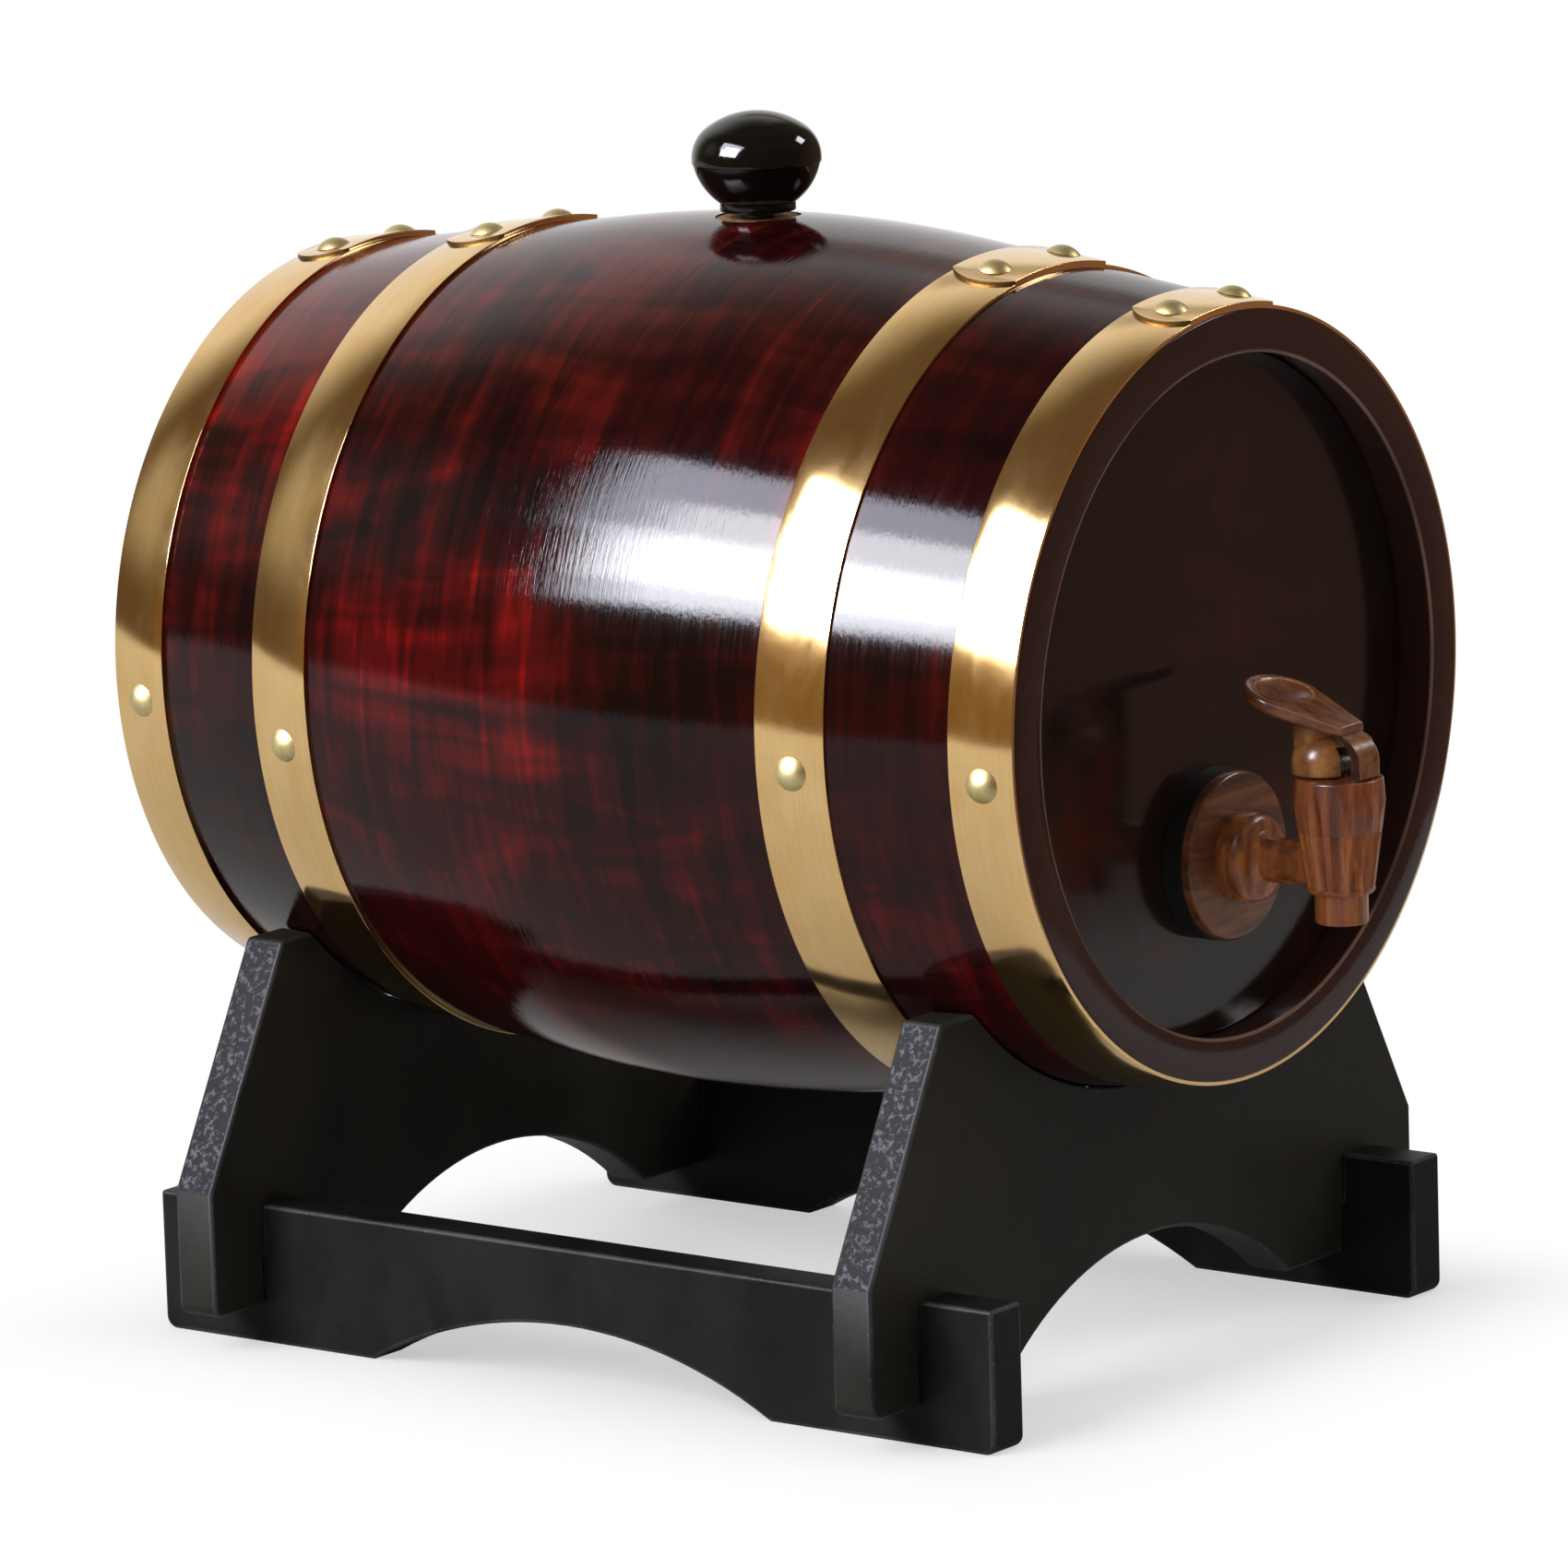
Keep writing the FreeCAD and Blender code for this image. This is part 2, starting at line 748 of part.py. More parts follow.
turn(tap_body, "pipe_turned", pipe, "H_Axis")
chamber = open_sketch(tap_body, "chamber", "YZ_Plane")
draw_outline(
    chamber,
    [
        ("0", "nozzle_end - 1"),
        ("nozzle_bore", "nozzle_end - 1"),
        ("nozzle_bore", "nozzle_bore_top"),
        ("seat_radius", "nozzle_bore_top"),
        ("seat_radius", "seat_height"),
        ("chamber_radius", "seat_height"),
        ("chamber_radius", "neck_top + 1"),
        ("0", "neck_top + 1"),
    ],
)
turn(tap_body, "chamber_bored", chamber, kind="Groove")
bore = open_sketch(tap_body, "bore", "YZ_Plane")
draw_outline(
    bore,
    [
        ("pipe_bore", "0"),
        ("pipe_bore", "pipe_bore"),
        (collar_front, "pipe_bore"),
        ("rosette_front", "shank_bore"),
        ("rosette_front + shank_length + 1", "shank_bore"),
        ("rosette_front + shank_length + 1", "0"),
    ],
)
turn(tap_body, "pipe_bored", bore, "H_Axis", kind="Groove")
keep("tap_body", tap_body)


# Tap fixing: rosette and washer outside the head, washer and lock nut inside


def make_ring(name, start, end, hole, radius, edge_round="0"):
    """Make a flat ring around the pipe's axis, with its front edge rounded where asked."""
    body = new_body(name, *tap_place)
    half = open_sketch(body, "half", "YZ_Plane")
    rounded = value(edge_round) > 0
    front = [(start, f"{radius} - {edge_round}"), (f"{start} + {edge_round}", radius, edge_round, -1)]
    corners = front if rounded else [(start, radius)]
    draw_outline(half, [(start, hole), *corners, (end, radius), (end, hole)])
    turn(body, "turned", half, "H_Axis")
    keep(name, body)


shank_hole = "shank_radius + rosette_gap"
make_ring("tap_rosette", "rosette_front", "rosette_back", shank_hole, "rosette_radius", "rosette_round")
make_ring("tap_washer_outer", "rosette_back", "face_reach", shank_hole, "washer_radius")
make_ring("tap_washer_inner", "head_back", "nut_front", shank_hole, "inner_washer_radius")

nut = new_body("tap_nut", *tap_place)
nut_plan = open_sketch(nut, "plan", "XZ_Plane", out="0 - nut_front - nut_thick")
draw_outline(nut_plan, [(f"nut_radius * cos({60 * k})", f"nut_radius * sin({60 * k})") for k in range(6)])
draw_circle(nut_plan, "0", "0", "shank_radius")
push(nut, "pushed", nut_plan, "nut_thick", both=False)
keep("tap_nut", nut)


# Tap bonnet: the fluted cap that guides the stem

bonnet = new_body("tap_bonnet", *tap_place)
cap = open_sketch(bonnet, "cap", "YZ_Plane")
draw_outline(
    cap,
    [
        ("bonnet_bore", "seam_height"),
        ("seam_radius", "seam_height"),
        ("wide_radius", "wide_height"),
        ("rim_radius", "rim_height - rim_round"),
        ("rim_radius - rim_round", "rim_height", "rim_round", 1),
        ("stem_hole", "rim_height"),
        ("stem_hole", "bonnet_ceiling + ring_pocket_depth"),
        ("ring_pocket_radius", "bonnet_ceiling + ring_pocket_depth"),
        ("ring_pocket_radius", "bonnet_ceiling"),
        ("bonnet_bore", "bonnet_ceiling"),
    ],
)
turn(bonnet, "cap_turned", cap)
cut_flutes(bonnet)
keep("tap_bonnet", bonnet)


# Valve: stem with slotted eye, gland washer, sealing ring, spring, retainer and seat plug

stem = new_body("tap_stem", *tap_place)
stem_half = open_sketch(stem, "half", "YZ_Plane")
draw_outline(
    stem_half,
    [
        ("0", "stem_foot"),
        ("stem_tail_radius", "stem_foot"),
        ("stem_tail_radius", "stem_step"),
        ("stem_radius", "stem_step"),
        ("stem_radius", "stem_shoulder"),
        ("0", "stem_shoulder"),
    ],
)
turn(stem, "turned", stem_half)
eye = open_sketch(stem, "eye", "YZ_Plane")
draw_outline(
    eye,
    [
        ("slot_run", "pin_height - eye_radius"),
        ("slot_run + eye_radius", "pin_height", "eye_radius", 1),
        ("slot_run", "pin_height + eye_radius", "eye_radius", 1),
        ("0", "pin_height + eye_radius"),
        ("0 - eye_radius", "pin_height", "eye_radius", 1),
        ("0", "pin_height - eye_radius", "eye_radius", 1),
    ],
)
push(stem, "eye_pushed", eye, "2 * stem_radius")
slot = open_sketch(stem, "slot", "YZ_Plane")
draw_outline(
    slot,
    [
        ("slot_run", "pin_height - slot_radius"),
        ("slot_run + slot_radius", "pin_height", "slot_radius", 1),
        ("slot_run", "pin_height + slot_radius", "slot_radius", 1),
        ("0", "pin_height + slot_radius"),
        ("0 - slot_radius", "pin_height", "slot_radius", 1),
        ("0", "pin_height - slot_radius", "slot_radius", 1),
    ],
)
push(stem, "slot_cut", slot, "4 * stem_radius", "Pocket")
keep("tap_stem", stem)


def make_upright_ring(name, foot, top, hole, radius):
    """Make a flat ring around the stem."""
    body = new_body(name, *tap_place)
    half = open_sketch(body, "half", "YZ_Plane")
    draw_outline(half, [(hole, foot), (radius, foot), (radius, top), (hole, top)])
    turn(body, "turned", half)
    keep(name, body)


make_upright_ring("tap_gland_washer", "gland_foot", "bonnet_ceiling", "stem_hole + stem_gap", "gland_radius")
make_upright_ring("tap_spring_retainer", "retainer_foot", "stem_step", "stem_tail_radius", "retainer_radius")

seal = doc.addObject("Part::Torus", "tap_o_ring")
seal.setExpression("Radius1", full("ring_centre_radius"))
seal.setExpression("Radius2", full("ring_radius"))
seal.setExpression("Placement.Base.y", full(tap_place[1]))
seal.setExpression("Placement.Base.z", full(f"{tap_place[2]} + bonnet_ceiling + ring_pocket_depth / 2"))
keep("tap_o_ring", seal)

plug = new_body("tap_seat_plug", *tap_place)
plug_half = open_sketch(plug, "half", "YZ_Plane")
draw_outline(
    plug_half,
    [
        ("0", "plug_foot"),
        ("plug_radius", "plug_foot"),
        ("plug_radius", "plug_foot + plug_disc"),
        ("plug_neck_radius", "plug_foot + plug_disc"),
        ("plug_neck_radius", "retainer_foot"),
        ("stem_tail_radius", "retainer_foot"),
        ("stem_tail_radius", "stem_foot"),
        ("0", "stem_foot"),
    ],
)
turn(plug, "turned", plug_half)
keep("tap_seat_plug", plug)


# Return spring: one wire wound between the retainer and the gland washer


def make_spring():
    wire = value("spring_wire")
    radius = value("spring_radius")
    foot = value("stem_step") + wire
    top = value("gland_foot") - wire
    quarters = round(value("spring_turns") * 4)
    rise = (top - foot) / quarters
    pitch = rise * 2 / math.pi

    def on_helix(quarter):
        angle = quarter * math.pi / 2
        return FreeCAD.Vector(radius * math.cos(angle), radius * math.sin(angle), foot + quarter * rise)

    def direction(quarter):
        angle = quarter * math.pi / 2
        return FreeCAD.Vector(-radius * math.sin(angle), radius * math.cos(angle), pitch).normalize()

    def arc_from(start, heading, end):
        """Make the arc that leaves a point along a heading and reaches another point."""
        chord = end - start
        off = (chord - heading * chord.dot(heading)).normalize()
        bend = chord.Length**2 / (2 * chord.dot(off))
        centre = start + off * bend
        half = (start - centre) + (end - centre)
        middle = centre + half.normalize() * bend
        return Part.Arc(start, middle, end)

    edges = []
    for quarter in range(quarters):
        start, end = on_helix(quarter), on_helix(quarter + 1)
        leave, arrive = direction(quarter), direction(quarter + 1)
        chord = start - end
        both = leave + arrive
        square = both.dot(both) - 4
        linear = 2 * chord.dot(both)
        root = math.sqrt(linear**2 - 4 * square * chord.dot(chord))
        reach = max((-linear - root) / (2 * square), (-linear + root) / (2 * square))
        meet = (start + leave * reach + end - arrive * reach) / 2
        edges.append(arc_from(start, leave, meet).toShape())
        edges.append(arc_from(end, arrive * -1, meet).toShape())
    path = Part.Wire(edges)
    ring = Part.Wire(Part.makeCircle(wire, on_helix(0), direction(0)))
    solid = Part.Solid(path.makePipeShell([ring], True, False))
    points = path.discretize(Number=quarters * 12)
    gap = min(
        (first - second).Length
        for number, first in enumerate(points)
        for second in points[number + 24:]
    )
    print("least gap between the spring's turns:", round(gap - 2 * wire, 3))
    return solid


spring = doc.addObject("Part::Feature", "tap_spring")
spring.Shape = make_spring()
spring.setExpression("Placement.Base.y", full(tap_place[1]))
spring.setExpression("Placement.Base.z", full(tap_place[2]))
keep("tap_spring", spring)


# Press lever: a fan-shaped paddle with a thumb dish, a throat on a round heel, and a front strap


def paddle_top(back):
    """Height of the paddle's sloping top at a distance behind the housing's axis."""
    return f"paddle_front_height + (({back}) - paddle_front) * tan(paddle_slope)"


def sloping_edges(shape):
    """Name the edges that do not stand upright: those round the paddle's top and underside."""
    found = []
    for number, edge in enumerate(shape.Edges, 1):
        way = edge.Vertexes[-1].Point - edge.Vertexes[0].Point
        if math.hypot(way.x, way.y) > value("paddle_edge_round"):
            found.append(f"Edge{number}")
    return found


lever = new_body("tap_lever", *tap_place)
paddle = open_sketch(lever, "paddle", "YZ_Plane")
draw_outline(
    paddle,
    [
        ("paddle_front", "paddle_front_height - paddle_front_thick"),
        ("throat_back", f"{paddle_top('throat_back')} - paddle_throat_thick"),
        ("paddle_tip", f"{paddle_top('paddle_tip')} - paddle_tip_thick"),
        ("paddle_tip", paddle_top("paddle_tip")),
        ("paddle_front", "paddle_front_height"),
    ],
)
push(lever, "paddle_pushed", paddle, "2 * paddle_half")
plan = open_sketch(lever, "plan", "XY_Plane")
clear_half = "2 * paddle_half"
clear_back = "paddle_tip + paddle_corner"
draw_outline(
    plan,
    [
        (
            "0 - end_half * end_meet",
            "paddle_tip - end_round + (end_round - end_run) * end_meet",
            "end_round",
            1,
        ),
        ("0 - flare_half", "flare_back", "paddle_corner", 1),
        ("0 - paddle_front_half", "paddle_front"),
        ("0 - paddle_front_half", "paddle_front - paddle_corner"),
        (f"0 - {clear_half}", "paddle_front - paddle_corner"),
        (f"0 - {clear_half}", clear_back),
        ("0", clear_back),
        ("0", "paddle_tip"),
    ],
)
trim = push(lever, "plan_cut", plan, "4 * paddle_front_height", "Pocket")
mirror = lever.newObject("PartDesign::Mirrored", "tap_lever_plan_cut_mirrored")
mirror.Originals = [trim]
mirror.MirrorPlane = (next(item for item in lever.Origin.OriginFeatures if item.Role == "YZ_Plane"), [""])
lever.Tip = mirror
doc.recompute()
rounding = lever.newObject("PartDesign::Fillet", "tap_lever_rounding")
rounding.Base = (mirror, sloping_edges(mirror.Shape))
rounding.setExpression("Radius", full("paddle_edge_round"))
throat = open_sketch(lever, "throat", "XY_Plane", out="throat_foot")
draw_circle(throat, "0", "throat_back", "throat_radius")
throat_top = f"{paddle_top('throat_back - throat_radius')} - throat_sunk"
push(lever, "throat_pushed", throat, f"{throat_top} - throat_foot", both=False)
heel = open_sketch(lever, "heel", "YZ_Plane", across="heel_back")
heel_shoulder = "heel_foot + heel_straight"
draw_outline(
    heel,
    [
        ("0", "heel_foot"),
        ("heel_radius - heel_edge_round", "heel_foot"),
        ("heel_radius", "heel_foot + heel_edge_round", "heel_edge_round", 1),
        ("heel_radius", heel_shoulder),
        ("heel_radius - heel_round", f"{heel_shoulder} + heel_round", "heel_round", 1),
        ("0", f"{heel_shoulder} + heel_round"),
    ],
)
turn(lever, "heel_turned", heel)
strap = open_sketch(lever, "strap", "YZ_Plane")
strap_joint = "paddle_front_height - paddle_front_thick / 2"
draw_outline(
    strap,
    [
        ("0 - strap_reach", "heel_foot"),
        ("strap_thick - strap_reach", "heel_foot"),
        ("strap_thick - strap_reach", "strap_bend_height"),
        (
            "0 - strap_top_inner",
            "strap_bend_height + strap_inner_rise",
            "strap_inner_round",
            -1,
        ),
        ("0 - strap_top_inner", strap_joint),
        ("0 - strap_top_outer", strap_joint),
        ("0 - strap_top_outer", "strap_bend_height + strap_outer_rise"),
        ("0 - strap_reach", "strap_bend_height", "strap_outer_round", 1),
    ],
)
push(lever, "strap_pushed", strap, "2 * (paddle_front_half)")
dish = lever.newObject("PartDesign::SubtractiveEllipsoid", "tap_lever_dish")
dish.setExpression("Radius1", full("dish_depth + dish_rise"))
dish.setExpression("Radius2", full("dish_half * dish_spread"))
dish.setExpression("Radius3", full("dish_half_length * dish_spread"))
dish_y = full("dish_back - dish_rise * sin(paddle_slope)")
dish_z = full(f"{paddle_top('dish_back')} + dish_rise * cos(paddle_slope)")
dish_spot = f"vector(0 mm; ({dish_y}) * 1 mm; ({dish_z}) * 1 mm)"
dish_tilt = f"rotation(vector(1; 0; 0); {full('paddle_slope')} * 1 deg)"
dish.setExpression("Placement", f"placement({dish_spot}; {dish_tilt})")
cavity = open_sketch(lever, "cavity", "YZ_Plane")
draw_circle(cavity, "0", "pin_height", "cavity_radius")
push(lever, "cavity_cut", cavity, "2 * cavity_half", "Pocket")
pin_hole = open_sketch(lever, "pin_hole", "YZ_Plane", out="pin_start")
draw_circle(pin_hole, "0", "pin_height", "pin_radius")
push(lever, "pin_hole_cut", pin_hole, "2 * heel_radius", "Pocket", both=False, reverse=True)
keep("tap_lever", lever)

pin = new_body("tap_lever_pin", *tap_place)
pin_face = open_sketch(pin, "face", "YZ_Plane", out="pin_start")
draw_circle(pin_face, "0", "pin_height", "pin_radius")
push(pin, "pushed", pin_face, "pin_length", both=False)
keep("tap_lever_pin", pin)


# Cradle rails: long boards on edge, arched underneath and notched for the cross boards


def make_rail(name, side):
    body = new_body(name, f"{side} * rail_centre", "cask_back", "0")
    face = open_sketch(body, "face", "YZ_Plane")
    near = "(board_centre - board_thick / 2)"
    far = "(board_centre + board_thick / 2)"
    draw_outline(
        face,
        [
            ("rail_half - foot_corner", "0"),
            ("rail_half", "foot_corner", "foot_corner", 1),
            ("rail_half", "rail_height"),
            (far, "rail_height"),
            (far, "halving"),
            (near, "halving"),
            (near, "rail_height"),
            (f"0 - {near}", "rail_height"),
            (f"0 - {near}", "halving"),
            (f"0 - {far}", "halving"),
            (f"0 - {far}", "rail_height"),
            ("0 - rail_half", "rail_height"),
            ("0 - rail_half", "foot_corner"),
            ("foot_corner - rail_half", "0", "foot_corner", 1),
            ("0 - rail_arch_half", "0"),
            ("rail_arch_half", "0", "rail_arch", -1),
        ],
    )
    push(body, "pushed", face, "rail_thick")
    keep(name, body)


make_rail("stand_rail_left", -1)
make_rail("stand_rail_right", 1)


# Cradle boards: notched over the rails, arched below, with a saddle cut to the cask's taper


def make_board(name, side):
    body = new_body(name, "0", "cask_back", "0")
    face = open_sketch(body, "face", "XZ_Plane", out=f"0 - {side} * board_centre")
    near = "(rail_centre - rail_thick / 2)"
    far = "(rail_centre + rail_thick / 2)"
    right = [
        (near, "board_foot"),
        (near, "halving"),
        (far, "halving"),
        (far, "board_foot"),
        ("board_half - ear_corner", "board_foot"),
        ("board_half", "board_foot + ear_corner", "ear_corner", 1),
        ("board_half", "ear_height"),
        ("shoulder_half", "shoulder_height"),
    ]
    left = [
        ("0 - shoulder_half", "shoulder_height"),
        ("0 - board_half", "ear_height"),
        ("0 - board_half", "board_foot + ear_corner"),
        ("ear_corner - board_half", "board_foot", "ear_corner", 1),
        (f"0 - {far}", "board_foot"),
        (f"0 - {far}", "halving"),
        (f"0 - {near}", "halving"),
        (f"0 - {near}", "board_foot"),
        ("0 - board_arch_half", "board_foot"),
    ]
    arch = ("board_arch_half", "board_foot", "board_arch", -1)
    draw_outline(face, [*right, *left, arch])
    push(body, "pushed", face, "board_thick")
    saddle = open_sketch(body, "saddle", "XY_Plane", out="axis_height")
    near_end = "(board_centre - board_thick)"
    far_end = "(board_centre + board_thick)"
    draw_outline(
        saddle,
        [
            ("0", f"{side} * {near_end}"),
            (f"{skin(near_end)} + saddle_gap", f"{side} * {near_end}"),
            (f"{skin(far_end)} + saddle_gap", f"{side} * {far_end}"),
            ("0", f"{side} * {far_end}"),
        ],
    )
    turn(body, "saddle_cut", saddle, kind="Groove")
    keep(name, body)


make_board("stand_board_front", -1)
make_board("stand_board_rear", 1)


# Build, test and write every piece

doc.recompute()
troubled = [item.Label for item in doc.Objects if {"Invalid", "Error"} & set(item.State)]
if troubled:
    raise RuntimeError("these objects did not build: " + ", ".join(troubled))
os.makedirs("parts", exist_ok=True)
for name, item in nodes.items():
    if item.Shape.isNull() or not item.Shape.isValid():
        raise RuntimeError("the shape is not sound: " + name)
    item.Shape.exportStep(f"parts/{name}.step")
print("lever ratio, mm per radian:", round(value("stem_lift / (lever_travel * pi / 180)"), 4))
print("stem lift:", round(value("stem_lift"), 3), "slot run:", round(value("slot_run"), 3))
print("shift of the cask along Y:", round(value("cask_back"), 3))
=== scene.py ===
"""The looks of the wooden barrel dispenser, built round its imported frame.

Lengths are in metres and angles in degrees. X runs across the cask, Y runs along it with the tap
towards -Y, and Z is up from the table.
"""
import logging
import math
from collections.abc import Callable, Sequence
from dataclasses import dataclass
from enum import Enum, IntEnum

import bmesh
import bpy
from mathutils import Matrix, Vector


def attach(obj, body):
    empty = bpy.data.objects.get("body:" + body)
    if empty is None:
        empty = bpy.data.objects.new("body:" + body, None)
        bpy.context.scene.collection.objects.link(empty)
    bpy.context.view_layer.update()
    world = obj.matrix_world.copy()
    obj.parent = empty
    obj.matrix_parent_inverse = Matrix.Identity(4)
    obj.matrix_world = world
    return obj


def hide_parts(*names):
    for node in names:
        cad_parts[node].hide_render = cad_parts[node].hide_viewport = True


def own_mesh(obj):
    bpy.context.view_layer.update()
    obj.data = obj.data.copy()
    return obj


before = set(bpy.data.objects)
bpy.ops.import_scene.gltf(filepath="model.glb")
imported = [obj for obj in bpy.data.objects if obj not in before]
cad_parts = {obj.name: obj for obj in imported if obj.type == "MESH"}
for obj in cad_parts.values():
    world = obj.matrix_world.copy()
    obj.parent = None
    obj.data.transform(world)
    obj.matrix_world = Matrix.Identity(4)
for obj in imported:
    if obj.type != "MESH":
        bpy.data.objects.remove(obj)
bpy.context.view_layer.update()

LOG = logging.getLogger("barrel")

Piece = bpy.types.Object
Point = tuple[float, float]
Triple = tuple[float, float, float]
Colour = tuple[float, float, float, float]
Stop = tuple[float, Colour]
# Where a fade starts, where it ends, and its values before and after.
Fade = tuple[float, float, float, float]

CASK_CENTRE = Vector((0, 0.01825, 0.1587))
TAP_CENTRE = Vector((0, -0.13775, 0.1217))
KNOB_FOOT = (0, 0.02175, 0.2612)
ALONG = Vector((0, 1, 0))
UP = Vector((0, 0, 1))
WHITE: Colour = (1.0, 1.0, 1.0, 1.0)
LENGTHWISE: Triple = (420, 60, 420)


def srgb(red: int, green: int, blue: int) -> Colour:
    """Turns a colour as it is seen on a screen into the plain light that shaders use.

    Args:
        red: The red part, 0 to 255.
        green: The green part.
        blue: The blue part.

    Returns:
        The colour with full opacity.
    """

    def plain(part: int) -> float:
        """Undoes the screen's curve for one part."""
        share = part / 255
        return share / 12.92 if share <= 0.04045 else ((share + 0.055) / 1.055) ** 2.4

    return (plain(red), plain(green), plain(blue), 1.0)


def arc(centre: Point, radius: float, start: float, end: float, steps: int) -> list[Point]:
    """Lays points along an arc, its two ends included.

    Args:
        centre: The arc's centre.
        radius: Its radius.
        start: The angle of its first point.
        end: The angle of its last point.
        steps: How many equal runs it has.

    Returns:
        The points in order.
    """
    turns = [math.radians(start + (end - start) * step / steps) for step in range(steps + 1)]
    return [(centre[0] + radius * math.cos(a), centre[1] + radius * math.sin(a)) for a in turns]


def rounded(corners: Sequence[Triple], steps: int = 4) -> list[Point]:
    """Rounds the corners of a closed outline.

    Args:
        corners: Each corner's place and the radius of its rounding, 0 for a sharp one.
        steps: How many runs each rounding has.

    Returns:
        The outline's points in order.
    """
    outline: list[Point] = []
    for index, (x, y, radius) in enumerate(corners):
        if radius <= 0:
            outline.append((x, y))
            continue
        here = Vector((x, y))
        before = Vector(corners[index - 1][:2]) - here
        after = Vector(corners[(index + 1) % len(corners)][:2]) - here
        half = before.angle(after) / 2
        reach = radius / math.tan(half)
        first = here + before.normalized() * reach
        last = here + after.normalized() * reach
        inwards = (before.normalized() + after.normalized()).normalized()
        middle = here + inwards * (radius / math.sin(half))
        spoke, end = first - middle, last - middle
        sweep = math.copysign(spoke.angle(end), spoke.x * end.y - spoke.y * end.x)
        for step in range(steps + 1):
            cos, sin = math.cos(sweep * step / steps), math.sin(sweep * step / steps)
            across = middle.x + spoke.x * cos - spoke.y * sin
            outline.append((across, middle.y + spoke.x * sin + spoke.y * cos))
    return outline


def way_round(spot: Vector, centre: Vector) -> Vector:
    """The direction at a spot round the axis along Y through a centre, one unit long."""
    spoke = spot - centre
    return Vector((spoke.z, 0, -spoke.x)).normalized()


class Cut(Enum):
    """What a cutter leaves of a piece."""

    OUTSIDE = "DIFFERENCE"
    INSIDE = "INTERSECT"


class Bench:
    """Modelling moves, made with Blender's own tools as by hand."""

    seam: float = 2e-6
    turned: float = 0.2

    @staticmethod
    def clear() -> None:
        """Deselects everything."""
        bpy.ops.object.select_all(action="DESELECT")

    @classmethod
    def take(cls, *pieces: Piece) -> Piece:
        """Selects pieces alone.

        Args:
            pieces: The pieces, first the one that becomes active.

        Returns:
            The active one.
        """
        cls.clear()
        for piece in pieces:
            piece.select_set(True)
        bpy.context.view_layer.objects.active = pieces[0]
        return pieces[0]

    @classmethod
    def settle(cls, name: str) -> Piece:
        """Names the piece that was just added and puts its place and size into its mesh.

        Args:
            name: Its name.

        Returns:
            The piece.
        """
        piece = cls.take(bpy.context.active_object)
        piece.name = name
        piece.data.name = name
        bpy.ops.object.transform_apply(location=True, rotation=True, scale=True)
        return piece

    @classmethod
    def edit(cls, piece: Piece) -> None:
        """Opens a piece in edit mode with everything selected.

        Args:
            piece: The piece.
        """
        cls.take(piece)
        bpy.ops.object.mode_set(mode="EDIT")
        bpy.ops.mesh.select_all(action="SELECT")

    @staticmethod
    def done() -> None:
        """Leaves edit mode."""
        bpy.ops.object.mode_set(mode="OBJECT")

    @staticmethod
    def pick_edges(piece: Piece, test: Callable[[Vector, Vector], bool]) -> None:
        """Selects edges of a piece in edit mode.

        Args:
            piece: The piece.
            test: Says yes for the middle and normal of an edge that is wanted.
        """
        bpy.ops.mesh.select_all(action="DESELECT")
        bpy.ops.mesh.select_mode(type="EDGE")
        mesh = bmesh.from_edit_mesh(piece.data)
        mesh.normal_update()
        for edge in mesh.edges:
            start, end = edge.verts
            edge.select_set(test((start.co + end.co) / 2, start.normal + end.normal))
        mesh.select_flush_mode()
        bmesh.update_edit_mesh(piece.data)

    @classmethod
    def trace(cls, name: str, points: Sequence[Vector], closed: bool = True) -> Piece:
        """Draws an outline point by point and fills it where it is closed.

        Args:
            name: The new piece's name.
            points: The outline's points in order.
            closed: Whether it runs back to its start and is filled.

        Returns:
            The piece, left in edit mode with everything selected.
        """
        cls.clear()
        bpy.ops.mesh.primitive_plane_add(size=0.001, location=points[0])
        piece = cls.settle(name)
        cls.edit(piece)
        bpy.ops.mesh.merge(type="CENTER")
        bpy.ops.mesh.select_mode(type="VERT")
        here = points[0]
        for there in [*points[1:], points[0]] if closed else points[1:]:
            bpy.ops.mesh.extrude_region_move(TRANSFORM_OT_translate={"value": there - here})
            here = there
        bpy.ops.mesh.select_all(action="SELECT")
        bpy.ops.mesh.remove_doubles(threshold=1e-6)
        if closed:
            bpy.ops.mesh.select_all(action="SELECT")
            bpy.ops.mesh.edge_face_add()
        return piece

    @classmethod
    def spin(
        cls,
        name: str,
        points: Sequence[Vector],
        centre: Vector,
        axis: Vector,
        steps: int,
        angle: float = 360,
        closed: bool = False,
    ) -> Piece:
        """Turns a traced outline round an axis.

        Args:
            name: The new piece's name.
            points: The outline in a plane through the axis.
            centre: A point of the axis.
            axis: The axis's direction.
            steps: How many steps the turn has.
            angle: How far it turns.
            closed: Whether the outline runs back to its start; a part turn is then filled.

        Returns:
            The turned piece, its faces pointing outwards.
        """
        piece = cls.trace(name, points, closed)
        if closed and angle >= 360:
            bpy.ops.mesh.delete(type="ONLY_FACE")
            bpy.ops.mesh.select_all(action="SELECT")
        bpy.ops.mesh.spin(steps=steps, angle=-math.radians(angle), center=centre, axis=axis)
        bpy.ops.mesh.select_all(action="SELECT")
        bpy.ops.mesh.remove_doubles(threshold=cls.seam)
        bpy.ops.mesh.normals_make_consistent(inside=False)
        cls.done()
        return piece

    @classmethod
    def cut(cls, piece: Piece, cutter: Piece, keep: Cut) -> None:
        """Cuts a piece with another, which is used up.

        Args:
            piece: The piece.
            cutter: The other.
            keep: What is left.
        """
        cls.take(piece)
        cutting = piece.modifiers.new("cut", "BOOLEAN")
        cutting.operation = keep.value
        cutting.solver = "EXACT"
        cutting.object = cutter
        bpy.ops.object.modifier_apply(modifier=cutting.name)
        bpy.data.objects.remove(cutter)

